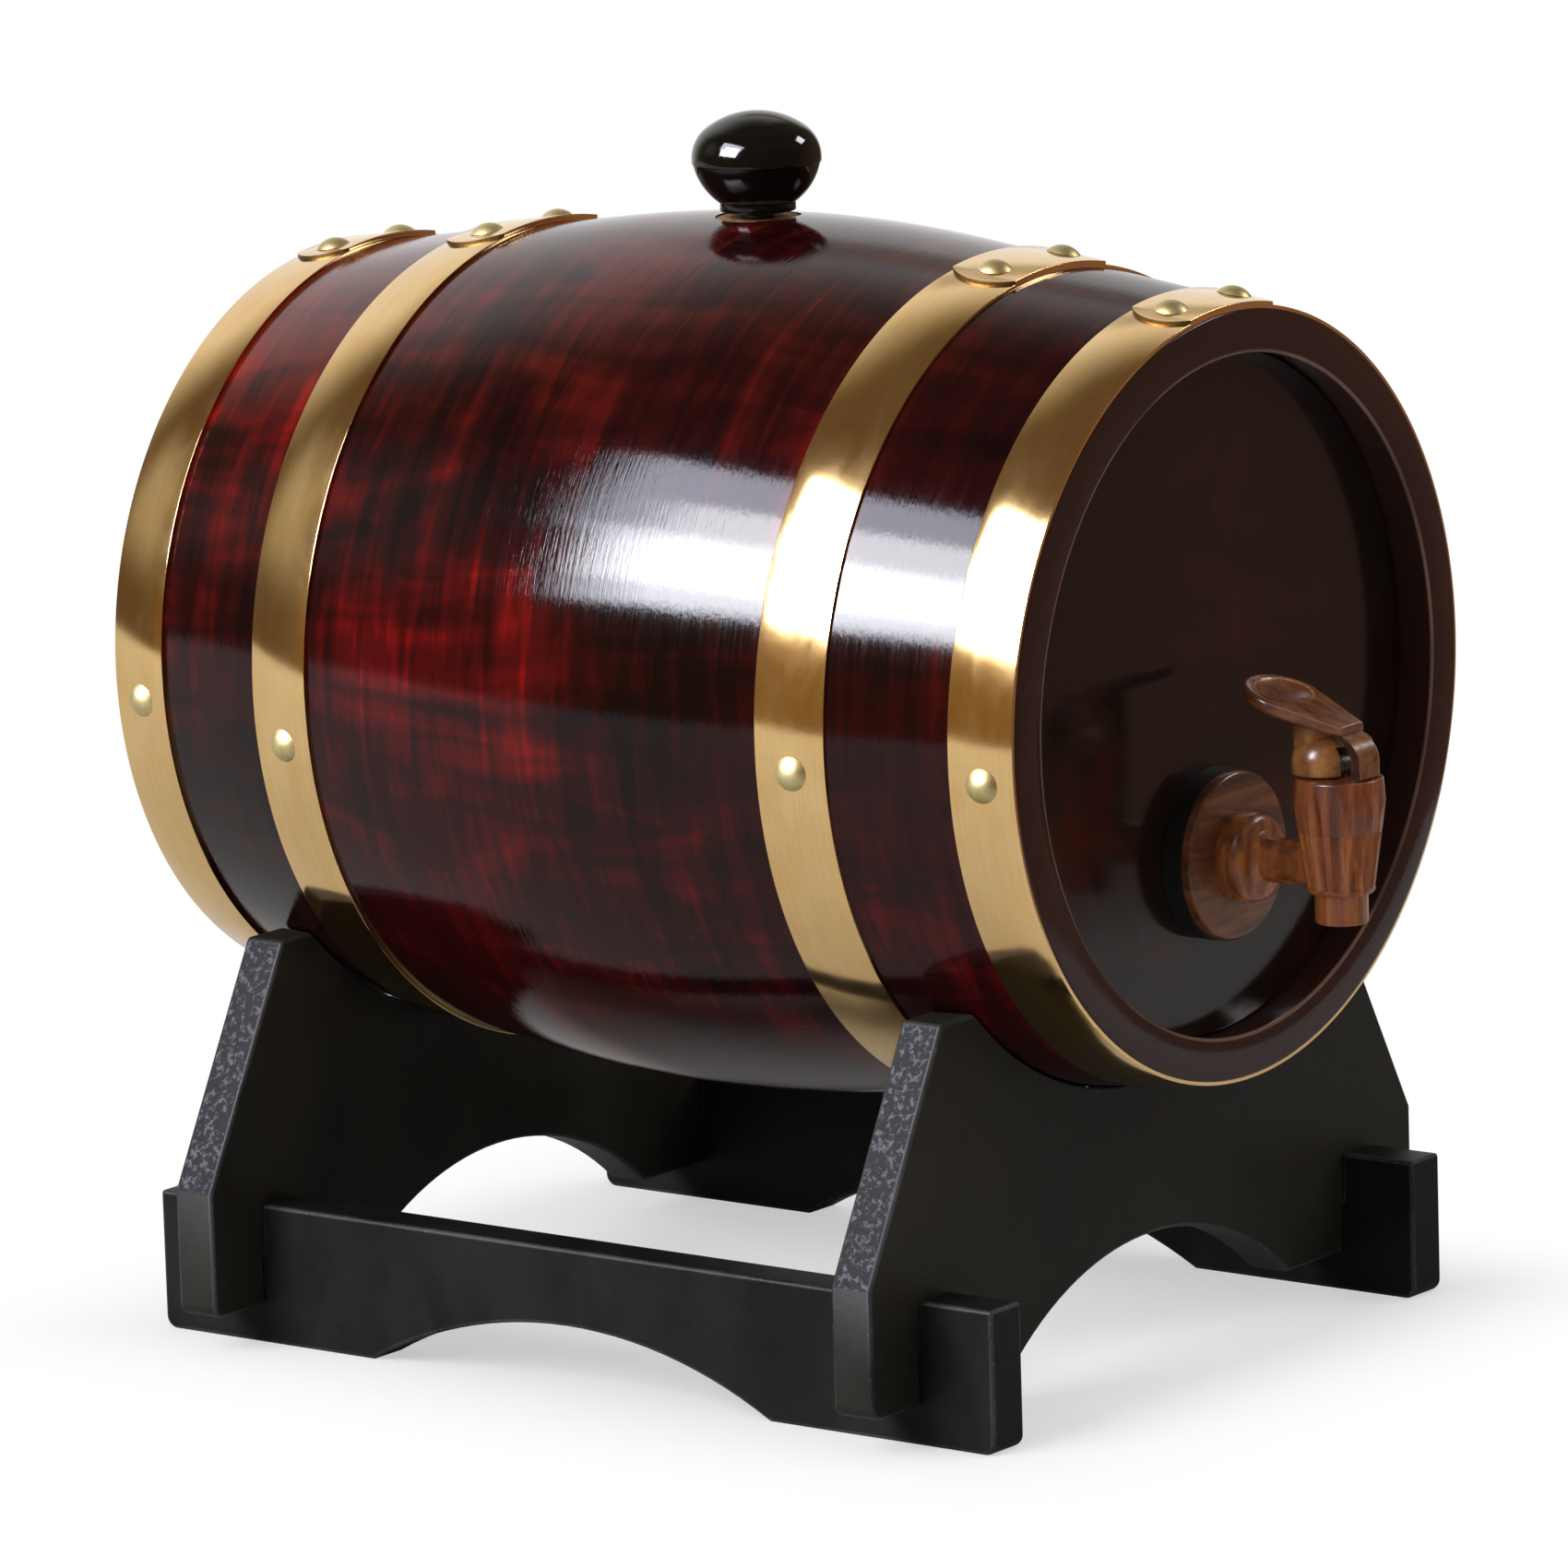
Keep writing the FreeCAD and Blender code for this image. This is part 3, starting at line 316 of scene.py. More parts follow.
    @classmethod
    def soften(
        cls, piece: Piece, width: float, segments: int = 2, angle: float = 40, finish: int = -1
    ) -> None:
        """Rounds a piece's sharp edges.

        Args:
            piece: The piece.
            width: How wide the rounding is.
            segments: How many runs it has.
            angle: Edges sharper than this are rounded.
            finish: The slot of the finish that the rounding takes, -1 for its neighbours'.
        """
        cls.take(piece)
        edge = piece.modifiers.new("edge", "BEVEL")
        edge.width = width
        edge.segments = segments
        edge.limit_method = "ANGLE"
        edge.angle_limit = math.radians(angle)
        edge.material = finish
        edge.miter_outer = "MITER_ARC"
        bpy.ops.object.modifier_apply(modifier=edge.name)

    @classmethod
    def smooth(cls, piece: Piece, angle: float = 30) -> None:
        """Shades a piece smooth but for the edges sharper than an angle."""
        cls.take(piece)
        bpy.ops.object.shade_smooth_by_angle(angle=math.radians(angle))

    @classmethod
    def weigh(cls, piece: Piece) -> None:
        """Lets the large faces set the shading, so that flats beside a rounding stay flat.

        Args:
            piece: The piece.
        """
        cls.take(piece)
        weight = piece.modifiers.new("weight", "WEIGHTED_NORMAL")
        weight.keep_sharp = True
        bpy.ops.object.modifier_apply(modifier=weight.name)

    @classmethod
    def copy_of(cls, node: str) -> Piece:
        """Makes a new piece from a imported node, with its loose triangles sewn together.

        Args:
            node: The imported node's name.

        Returns:
            The new piece.
        """
        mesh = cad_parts[node].data.copy()
        mesh.name = f"{node}_skin"
        mesh.materials.clear()
        piece = bpy.data.objects.new(f"{node}_skin", mesh)
        bpy.context.scene.collection.objects.link(piece)
        cls.take(piece)
        bpy.ops.mesh.customdata_custom_splitnormals_clear()
        cls.edit(piece)
        bpy.ops.mesh.remove_doubles(threshold=cls.seam)
        bpy.ops.mesh.dissolve_degenerate(threshold=1e-6)
        cls.done()
        return piece

    @classmethod
    def join(cls, name: str, *pieces: Piece) -> Piece:
        """Joins pieces into the first of them.

        Args:
            name: The joined piece's name.
            pieces: The pieces.

        Returns:
            The joined piece.
        """
        piece = cls.take(*pieces)
        bpy.ops.object.join()
        piece.name = name
        piece.data.name = name
        return piece

    @classmethod
    def twin(cls, piece: Piece, name: str, move: Matrix) -> Piece:
        """Copies a piece with its own mesh and puts the copy somewhere else.

        Args:
            piece: The piece that is copied.
            name: The copy's name.
            move: How the copy is moved from where the piece is.

        Returns:
            The copy.
        """
        cls.take(piece)
        bpy.ops.object.duplicate()
        bpy.context.active_object.matrix_world = move
        return cls.settle(name)

    @classmethod
    def square_to_axis(cls, piece: Piece, centre: Vector) -> None:
        """Lets the shading of turned faces run on over the joints between neighbouring pieces.

        Args:
            piece: A piece that was turned round an axis along Y.
            centre: A point of that axis.
        """
        mesh = piece.data
        shades = [Vector(corner.vector) for corner in mesh.corner_normals]
        for face in mesh.polygons:
            for loop in face.loop_indices:
                around = way_round(mesh.vertices[mesh.loops[loop].vertex_index].co, centre)
                if abs(face.normal.dot(around)) < cls.turned:
                    shades[loop] = (shades[loop] - around * shades[loop].dot(around)).normalized()
        mesh.normals_split_custom_set(shades)

    @staticmethod
    def hand_over(piece: Piece, node: str, body: str, slot: str, *finishes: "Finish") -> Piece:
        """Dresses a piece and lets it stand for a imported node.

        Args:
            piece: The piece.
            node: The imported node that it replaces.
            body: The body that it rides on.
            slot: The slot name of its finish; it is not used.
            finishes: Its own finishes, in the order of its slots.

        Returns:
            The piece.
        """
        for finish in finishes:
            piece.data.materials.append(finish.material())
        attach(piece, body)
        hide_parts(node)
        return piece


class Wire:
    """A node's socket that takes part in sums written as Python."""

    def __init__(self, paint: "Paint", socket: bpy.types.NodeSocket) -> None:
        """Keeps the socket and the paint that it belongs to."""
        self.paint = paint
        self.socket = socket

    def __add__(self, other: "Wire | float") -> "Wire":
        """Adds a value."""
        return self.paint.maths("ADD", self, other)

    __radd__ = __add__

    def __mul__(self, other: "Wire | float") -> "Wire":
        """Multiplies by a value."""
        return self.paint.maths("MULTIPLY", self, other)

    __rmul__ = __mul__

    def __sub__(self, other: "Wire | float") -> "Wire":
        """Takes a value away."""
        return self.paint.maths("SUBTRACT", self, other)

    def __rsub__(self, other: "Wire | float") -> "Wire":
        """Is taken away from a value."""
        return self.paint.maths("SUBTRACT", other, self)

    def __abs__(self) -> "Wire":
        """Drops the sign."""
        return self.paint.maths("ABSOLUTE", self)

    def most(self, other: "Wire | float") -> "Wire":
        """Takes the larger of two values."""
        return self.paint.maths("MAXIMUM", self, other)

    def fade(self, start: float, end: float, low: float = 0.0, high: float = 1.0) -> "Wire":
        """Runs softly from low to high as the value goes from start to end."""
        values = {0: self, 1: start, 2: end, 3: low, 4: high}
        return self.paint.node("ShaderNodeMapRange", {"interpolation_type": "SMOOTHSTEP"}, values)

    def part(self, name: str) -> "Wire":
        """Takes another output of the same node."""
        return Wire(self.paint, self.socket.node.outputs[name])


Value = Wire | float | Sequence[float]


@dataclass(frozen=True)
class Grain:
    """Soft noise: how many grains a metre holds, on each axis or all round, and their character.

    The detail is how many finer layers it has, rough is how strong those are, wander is how far it
    is pulled about, and turn holds its angles about the axes.
    """

    size: Triple | float
    detail: float = 2.0
    rough: float = 0.5
    wander: float = 0.0
    turn: Triple = (0, 0, 0)


class Paint:
    """A node tree that is filled by plain calls."""

    def __init__(self, tree: bpy.types.NodeTree) -> None:
        """Takes a node tree and empties it."""
        self.tree = tree
        self.tree.nodes.clear()

    def node(self, kind: str, settings: dict, values: dict, out: int | str = 0) -> Wire:
        """Adds one node.

        Args:
            kind: The node's type.
            settings: Its own settings, set first; "stops" holds a ramp's places and colours.
            values: What goes into its sockets, a number, a colour or a wire each.
            out: Which output is returned.

        Returns:
            That output, or the first input of a node without outputs.
        """
        added = self.tree.nodes.new(kind)
        for name, setting in settings.items():
            if name == "stops":
                self._stops(added.color_ramp.elements, setting)
            else:
                setattr(added, name, setting)
        for name, value in values.items():
            if isinstance(value, Wire):
                self.tree.links.new(value.socket, added.inputs[name])
            else:
                added.inputs[name].default_value = value
        return Wire(self, added.outputs[out] if added.outputs else added.inputs[0])

    @staticmethod
    def _stops(elements: bpy.types.bpy_prop_collection, stops: Sequence[Stop]) -> None:
        """Sets a ramp's stops.

        Args:
            elements: The ramp's own stops.
            stops: The places and colours they take.
        """
        elements.remove(elements[-1])
        elements[0].position, elements[0].color = stops[0]
        for place, colour in stops[1:]:
            elements.new(place).color = colour

    def maths(self, operation: str, *terms: "Wire | float") -> Wire:
        """Adds a Math node."""
        return self.node("ShaderNodeMath", {"operation": operation}, dict(enumerate(terms)))

    def vector(self, operation: str, *terms: Value, out: int | str = 0) -> Wire:
        """Adds a Vector Math node."""
        values = dict(enumerate(terms))
        return self.node("ShaderNodeVectorMath", {"operation": operation}, values, out)

    def place(self, centre: Sequence[float] = (0, 0, 0)) -> Wire:
        """Gives places in the frame, counted from a centre."""
        spot = self.node("ShaderNodeTexCoord", {}, {}, "Object")
        return self.vector("SUBTRACT", spot, tuple(centre))

    def noise(self, spot: Wire, grain: Grain) -> Wire:
        """Makes soft noise.

        Args:
            spot: Where it is read.
            grain: Its size and character.

        Returns:
            The noise, from 0 to 1.
        """
        scale = grain.size
        if isinstance(scale, tuple):
            turn = [math.radians(angle) for angle in grain.turn]
            moved = {"Vector": spot, "Rotation": turn, "Scale": scale}
            spot = self.node("ShaderNodeMapping", {"vector_type": "POINT"}, moved)
            scale = 1.0
        values = {"Vector": spot, "Scale": scale, "Detail": grain.detail}
        values |= {"Roughness": grain.rough, "Distortion": grain.wander}
        return self.node("ShaderNodeTexNoise", {}, values)

    def ramp(self, wire: Wire, *stops: Stop) -> Wire:
        """Turns a value into a colour."""
        return self.node("ShaderNodeValToRGB", {"stops": stops}, {0: wire})

    def blend(self, share: Value, first: Value, second: Value) -> Wire:
        """Blends two colours by the share of the second."""
        values = {0: share, 6: first, 7: second}
        return self.node("ShaderNodeMix", {"data_type": "RGBA", "blend_type": "MIX"}, values, 2)

    def bump(self, height: Wire, depth: float, under: Wire | None = None) -> Wire:
        """Bends the surface's normal over hills.

        Args:
            height: The hills, from 0 to 1.
            depth: How high they are.
            under: Another bump that lies beneath.

        Returns:
            The bent normal.
        """
        values = {"Strength": 1.0, "Distance": depth, "Height": height}
        if under is not None:
            values["Normal"] = under
        return self.node("ShaderNodeBump", {}, values, "Normal")


@dataclass(frozen=True)
class Finish:
    """What every finish has: a name and a way to become a material."""

    name: str

    def paint(self, paint: Paint) -> dict[str, Value]:
        """Lays the finish.

        Args:
            paint: The tree that it fills.

        Returns:
            What goes into the shader's sockets, as in every finish.
        """
        raise NotImplementedError

    def material(self) -> bpy.types.Material:
        """Makes the material, once for each finish.

        Returns:
            The material.
        """
        title = f"{self.name}_finish"
        if title in bpy.data.materials:
            return bpy.data.materials[title]
        made = bpy.data.materials.new(title)
        made.use_nodes = True
        paint = Paint(made.node_tree)
        shader = paint.node("ShaderNodeBsdfPrincipled", {}, {})
        for name, value in self.paint(paint).items():
            socket = shader.socket.node.inputs[name]
            if isinstance(value, Wire):
                made.node_tree.links.new(value.socket, socket)
            else:
                socket.default_value = value
        paint.node("ShaderNodeOutputMaterial", {}, {"Surface": shader})
        return made


@dataclass(frozen=True)
class StaveLacquer(Finish):
    """Glossy mahogany lacquer, brushed round the cask over streaks drawn along it."""

    name: str = "stave_lacquer"
    dark: Colour = srgb(20, 5, 6)
    brown: Colour = srgb(46, 7, 8)
    red: Colour = srgb(84, 11, 12)
    bright: Colour = srgb(152, 20, 16)
    # painted sheen: a warm tint laid on the top of the cask in place of the reflection there
    painted_sheen_tint: Colour = srgb(112, 34, 18)
    end_brown: Colour = srgb(50, 32, 27)
    arris: Colour = srgb(124, 96, 80)
    stroke: Grain = Grain((22, 190, 22), 2, 0.5, 0.7)
    streak: Grain = Grain((34, 700, 34), 2, 0.5, 0.3)
    cross: Grain = Grain((75, 17, 75), 2, 0.5, 1.2)
    cloud: Grain = Grain((11, 17, 11), 3, 0.55, 0.5)
    line: Grain = Grain((60, 1500, 60), 3, 0.6)
    ripple: Grain = Grain((50, 30, 50), 1, 0.5)
    fleck: Grain = Grain((500, 900, 500), 2, 0.6)
    line_share: float = 0.65
    fleck_share: float = 0.35
    ripple_depth: float = 0.00006
    line_depth: float = 0.00005
    gloss: float = 0.075
    stroke_share: float = 1.2
    streak_share: float = 0.12
    cross_share: float = 1.1
    cloud_share: float = 1.9
    level: float = 0.38
    # painted shade: the stain is darkened towards the bottom, most at the rear, and towards the
    # front
    low_edge: Point = (-0.06, 0.035)
    low_light: Fade = (-0.06, 0.05, 0.95, 0.48)
    front_light: Fade = (-0.12, 0.03, 0.62, 1.0)
    # painted sheen on the top: the streaks are flattened there and the warm tint laid over them
    calm: Fade = (0.04, 0.09, 1.0, 0.5)
    painted_sheen_height: Fade = (0.05, 0.095, 0.0, 0.55)
    painted_sheen_start: Point = (0.15, 0.7)
    chime_start: Point = (0.1292, 0.1298)
    inside_start: Point = (0.1, 0.105)
    inside_end: Fade = (0.0795, 0.084, 1.0, 0.0)
    arris_radius: float = 0.0783
    arris_width: Fade = (0.0002, 0.0007, 1.0, 0.0)
    arris_wear: Fade = (0.3, 0.6, 0.25, 0.8)
    end_share: float = 0.85

    def tone(self, paint: Paint, spot: Wire, strokes: Wire) -> Wire:
        """Mixes the stain of the staves' outside, darkened by painted shade towards the bottom and
        the front, with a painted warm sheen on the top.

        Args:
            paint: The tree.
            spot: Places counted from the cask's centre.
            strokes: The brush's strokes round the cask.

        Returns:
            The colour.
        """
        along = paint.node("ShaderNodeSeparateXYZ", {}, {0: spot}, "Y")
        height = along.part("Z")
        streaks = paint.noise(spot, self.streak)
        crossing = paint.noise(spot, self.cross)
        clouds = paint.noise(spot, self.cloud)
        mottle = (strokes - 0.5) * self.stroke_share + (streaks - 0.5) * self.streak_share
        mottle = mottle + (crossing - 0.5) * self.cross_share + (clouds - 0.5) * self.cloud_share
        # painted shade towards the bottom and the front
        above_low = height.fade(*self.low_edge)
        lower = above_low + (1.0 - above_low) * along.fade(*self.low_light)
        amount = mottle * height.fade(*self.calm) + self.level
        amount = amount * along.fade(*self.front_light) * lower
        stops = ((0.0, self.dark), (0.33, self.brown), (0.62, self.red), (1.0, self.bright))
        # painted sheen: the warm tint over the top, where the stain is strongest
        above = height.fade(*self.painted_sheen_height) * amount.fade(*self.painted_sheen_start)
        return paint.blend(above, paint.ramp(amount, *stops), self.painted_sheen_tint)

    def paint(self, paint: Paint) -> dict[str, Value]:
        """Lays the streaks, the plain ends, the brush lines and the gloss.

        Args:
            paint: The tree.

        Returns:
            The shader's values.
        """
        spot = paint.place(CASK_CENTRE)
        far = abs(paint.node("ShaderNodeSeparateXYZ", {}, {0: spot}, "Y"))
        strokes = paint.noise(spot, self.stroke)
        colour = self.tone(paint, spot, strokes)
        radius = paint.vector("LENGTH", paint.vector("MULTIPLY", spot, (1, 0, 1)), out="Value")
        end = far.fade(*self.chime_start)
        inside = radius.fade(*self.inside_end) * far.fade(*self.inside_start)
        worn = abs(radius - self.arris_radius).fade(*self.arris_width) * end
        colour = paint.blend(end.most(inside) * self.end_share, colour, self.end_brown)
        colour = paint.blend(worn * strokes.fade(*self.arris_wear), colour, self.arris)
        fine = paint.noise(spot, self.line)
        hills = paint.bump(paint.noise(spot, self.ripple), self.ripple_depth)
        brushed = fine * self.line_share + paint.noise(spot, self.fleck) * self.fleck_share
        return {
            "Base Color": colour,
            "Roughness": fine.fade(0.2, 0.8, self.gloss - 0.02, self.gloss + 0.04),
            "Specular IOR Level": 0.2,
            "Normal": paint.bump(brushed, self.line_depth, hills),
        }


@dataclass(frozen=True)
class HeadLacquer(Finish):
    """The heads' thinner dark brown lacquer with faint red clouds."""

    name: str = "head_lacquer"
    dark: Colour = srgb(23, 14, 11)
    brown: Colour = srgb(28, 17, 14)
    red: Colour = srgb(52, 15, 14)
    cloud: Grain = Grain((26, 26, 34), 4, 0.6, 0.4)
    cloud_edge: Point = (0.36, 0.76)
    cloud_share: float = 0.92
    grain: Grain = Grain((420, 420, 30), 3, 0.6, 0.2)
    grain_edge: Point = (0.3, 0.7)
    grain_share: float = 0.08
    fine: Grain = Grain((700, 700, 60), 3, 0.6)
    relief: float = 0.000008
    gloss: Point = (0.11, 0.16)

    def paint(self, paint: Paint) -> dict[str, Value]:
        """Lays the clouds and a soft sheen.

        Args:
            paint: The tree.

        Returns:
            The shader's values.
        """
        spot = paint.place(CASK_CENTRE)
        clouds = paint.noise(spot, self.cloud).fade(*self.cloud_edge)
        grain = paint.noise(spot, self.grain)
        amount = clouds * self.cloud_share + grain.fade(*self.grain_edge) * self.grain_share
        return {
            "Base Color": paint.ramp(amount, (0.0, self.dark), (0.45, self.brown), (1.0, self.red)),
            "Roughness": grain.fade(0.2, 0.8, *self.gloss),
            "Specular IOR Level": 0.3,
            "Normal": paint.bump(paint.noise(spot, self.fine), self.relief),
        }


@dataclass(frozen=True)
class Brass(Finish):
    """Rolled brass with fine lines along the band and a little tarnish."""

    name: str = "hoop_brass"
    light: Colour = srgb(232, 198, 142)
    deep: Colour = srgb(220, 178, 114)
    tarnish: Colour = srgb(150, 110, 62)
    gloss: float = 0.11
    line: Grain = Grain((30, 1900, 30), 3, 0.6)
    line_share: float = 0.4
    stain: Grain = Grain((45, 90, 45), 5, 0.6, 0.4)
    stain_share: float = 0.6
    tarnished: Fade = (0.66, 0.82, 0.0, 0.2)
    relief: float = 0.000006

    def paint(self, paint: Paint) -> dict[str, Value]:
        """Lays the rolling lines, the tarnish and the gloss.

        Args:
            paint: The tree.

        Returns:
            The shader's values.
        """
        spot = paint.place(CASK_CENTRE)
        lines = paint.noise(spot, self.line)
        stains = paint.noise(spot, self.stain)
        amount = stains * self.stain_share + lines * self.line_share
        tone = paint.ramp(amount, (0.3, self.deep), (0.66, self.light))
        return {
            "Base Color": paint.blend(stains.fade(*self.tarnished), tone, self.tarnish),
            "Metallic": 1.0,
            "Roughness": stains.fade(0.3, 0.8, self.gloss - 0.015, self.gloss + 0.04),
            "Normal": paint.bump(lines, self.relief),
        }


@dataclass(frozen=True)
class KnobGloss(Finish):
    """The knob's deep black gloss."""

    name: str = "knob_gloss"
    black: Colour = srgb(9, 8, 8)
    brown: Colour = srgb(18, 14, 12)
    ring: Grain = Grain((30, 30, 900), 3, 0.5)
    dust: Grain = Grain((900, 900, 900), 2, 0.6)
    relief: float = 0.00001
    gloss: Point = (0.06, 0.11)

    def paint(self, paint: Paint) -> dict[str, Value]:
        """Lays faint turning rings and a high gloss.

        Args:
            paint: The tree.

        Returns:
            The shader's values.
        """
        spot = paint.place(KNOB_FOOT)
        rings = paint.noise(spot, self.ring)
        return {
            "Base Color": paint.ramp(rings, (0.35, self.black), (0.75, self.brown)),
            "Roughness": paint.noise(spot, self.dust).fade(0.4, 0.75, *self.gloss),
            "Specular IOR Level": 0.35,
            "Normal": paint.bump(rings, self.relief),
        }


@dataclass(frozen=True)
class Cork(Finish):
    """Pressed cork with dark pores, its top faintly darkened by painted shade beneath the knob's
    collar.
    """

    name: str = "cork"
    light: Colour = srgb(201, 164, 118)
    deep: Colour = srgb(164, 120, 76)
    pore: Colour = srgb(84, 54, 34)
    # painted shade: a dark brown laid over the cork's top beneath the knob's collar
    stain: Colour = srgb(26, 13, 11)
    collar_shade: Fade = (-0.006, -0.002, 0.0, 0.12)
    grains: float = 700
    grain_rise: float = 0.3
    pores: Grain = Grain((520, 520, 300), 3, 0.6, 0.4)
    pore_edge: Point = (0.6, 0.7)
    pit: Fade = (0.58, 0.72, 1.0, 0.0)
    relief: float = 0.0002

    def paint(self, paint: Paint) -> dict[str, Value]:
        """Lays grains and pores.

        Args:
            paint: The tree.

        Returns:
            The shader's values.
        """
        spot = paint.place(KNOB_FOOT)
        cells = {"Vector": spot, "Scale": self.grains}
        grains = paint.node("ShaderNodeTexVoronoi", {"feature": "F1"}, cells, "Distance")
        pores = paint.noise(spot, self.pores)
        tone = paint.ramp(grains, (0.1, self.light), (0.7, self.deep))
        high = paint.node("ShaderNodeSeparateXYZ", {}, {0: spot}, "Z")
        # painted shade on the top, beneath the knob's collar
        collar_shade = paint.blend(high.fade(*self.collar_shade), tone, self.stain)
        height = pores.fade(*self.pit) + grains * self.grain_rise
        return {
            "Base Color": paint.blend(pores.fade(*self.pore_edge), collar_shade, self.pore),
            "Roughness": pores.fade(0.3, 0.7, 0.75, 0.95),
            "Specular IOR Level": 0.1,
            "Normal": paint.bump(height, self.relief),
        }


@dataclass(frozen=True)
class TapWood(Finish):
    """The tap's satin brown with a wood grain that runs along each part."""

    name: str = "tap_brown"
    light: Colour = srgb(182, 112, 60)
    mid: Colour = srgb(126, 68, 36)
    dark: Colour = srgb(58, 28, 17)
    grain: Triple = (400, 400, 34)
    turn: Triple = (0, 0, 0)
    run_share: float = 0.55
    cloud_scale: float = 0.42
    cloud_share: float = 0.45
    pore_scale: float = 2.6
    pore_edge: Fade = (0.62, 0.72, 0.0, 0.4)
    pore_depth: float = 0.4
    relief: float = 0.00006
    gloss: Point = (0.32, 0.22)

    def paint(self, paint: Paint) -> dict[str, Value]:
        """Lays the grain lines and a satin sheen.

        Args:
            paint: The tree.

        Returns:
            The shader's values.
        """
        spot = paint.place(TAP_CENTRE)
        coarse = tuple(part * self.cloud_scale for part in self.grain)
        close = tuple(part * self.pore_scale for part in self.grain)
        runs = paint.noise(spot, Grain(self.grain, 5, 0.62, 0.5, self.turn))
        clouds = paint.noise(spot, Grain(coarse, 3, 0.6, 0.8, self.turn))
        pores = paint.noise(spot, Grain(close, turn=self.turn))
        stops = ((0.3, self.dark), (0.47, self.mid), (0.68, self.light))
        tone = paint.ramp(runs * self.run_share + clouds * self.cloud_share, *stops)
        return {
            "Base Color": paint.blend(pores.fade(*self.pore_edge), tone, self.dark),
            "Roughness": runs.fade(0.3, 0.7, *self.gloss),
            "Specular IOR Level": 0.35,
            "Normal": paint.bump(runs - pores * self.pore_depth, self.relief),
        }


@dataclass(frozen=True)
class Moulded(Finish):
    """A plain moulded or turned material with a faint grain of its own."""

    name: str = "tap_rubber"
    tone: Colour = srgb(13, 13, 13)
    shade: Colour = srgb(20, 19, 19)
    rough: float = 0.62
    metal: float = 0.0
    spread: float = 0.06
    grain: Grain = Grain(900, 3, 0.6)
    relief: float = 0.00003

    def paint(self, paint: Paint) -> dict[str, Value]:
        """Lays the grain.

        Args:
            paint: The tree.

        Returns:
            The shader's values.
        """
        grain = paint.noise(paint.place(TAP_CENTRE), self.grain)
        return {
            "Base Color": paint.ramp(grain, (0.35, self.tone), (0.7, self.shade)),
            "Metallic": self.metal,
            "Roughness": grain.fade(0.3, 0.7, self.rough - self.spread, self.rough + self.spread),
            "Normal": paint.bump(grain, self.relief),
        }


@dataclass(frozen=True)
class StandBlack(Finish):
    """Black satin paint over close-grained wood."""

    name: str = "stand_black"
    black: Colour = srgb(15, 14, 13)
    grey: Colour = srgb(28, 27, 27)
    speck: Colour = srgb(66, 65, 70)
    specks: float = 0.12
    rough: float = 0.46
    sheen: float = 0.1
    dust: Grain = Grain((1300, 1300, 1300), 3, 0.7)
    bare: float = 0.6
    bare_width: float = 0.14
    patch: Grain = Grain((38, 38, 24), 4, 0.6, 0.3)
    grain: Grain = Grain((160, 160, 700), 3, 0.55, 0.2)
    grain_share: float = 0.5
    relief: float = 0.00006

    def paint(self, paint: Paint) -> dict[str, Value]:
        """Lays the paint, its specks and the grain beneath.

        Args:
            paint: The tree.

        Returns:
            The shader's values.
        """
        spot = paint.place()
        patch = paint.noise(spot, self.patch)
        grain = paint.noise(spot, self.grain)
        dust = paint.noise(spot, self.dust)
        tone = paint.ramp(patch, (0.3, self.black), (0.72, self.grey))
        share = dust.fade(self.bare, self.bare + self.bare_width, 0.0, self.specks)
        height = grain * self.grain_share + dust * (1 - self.grain_share)
        return {
            "Base Color": paint.blend(share, tone, self.speck),
            "Roughness": patch.fade(0.3, 0.7, self.rough - 0.05, self.rough + 0.08),
            "Specular IOR Level": self.sheen,
            "Normal": paint.bump(height, self.relief),
        }


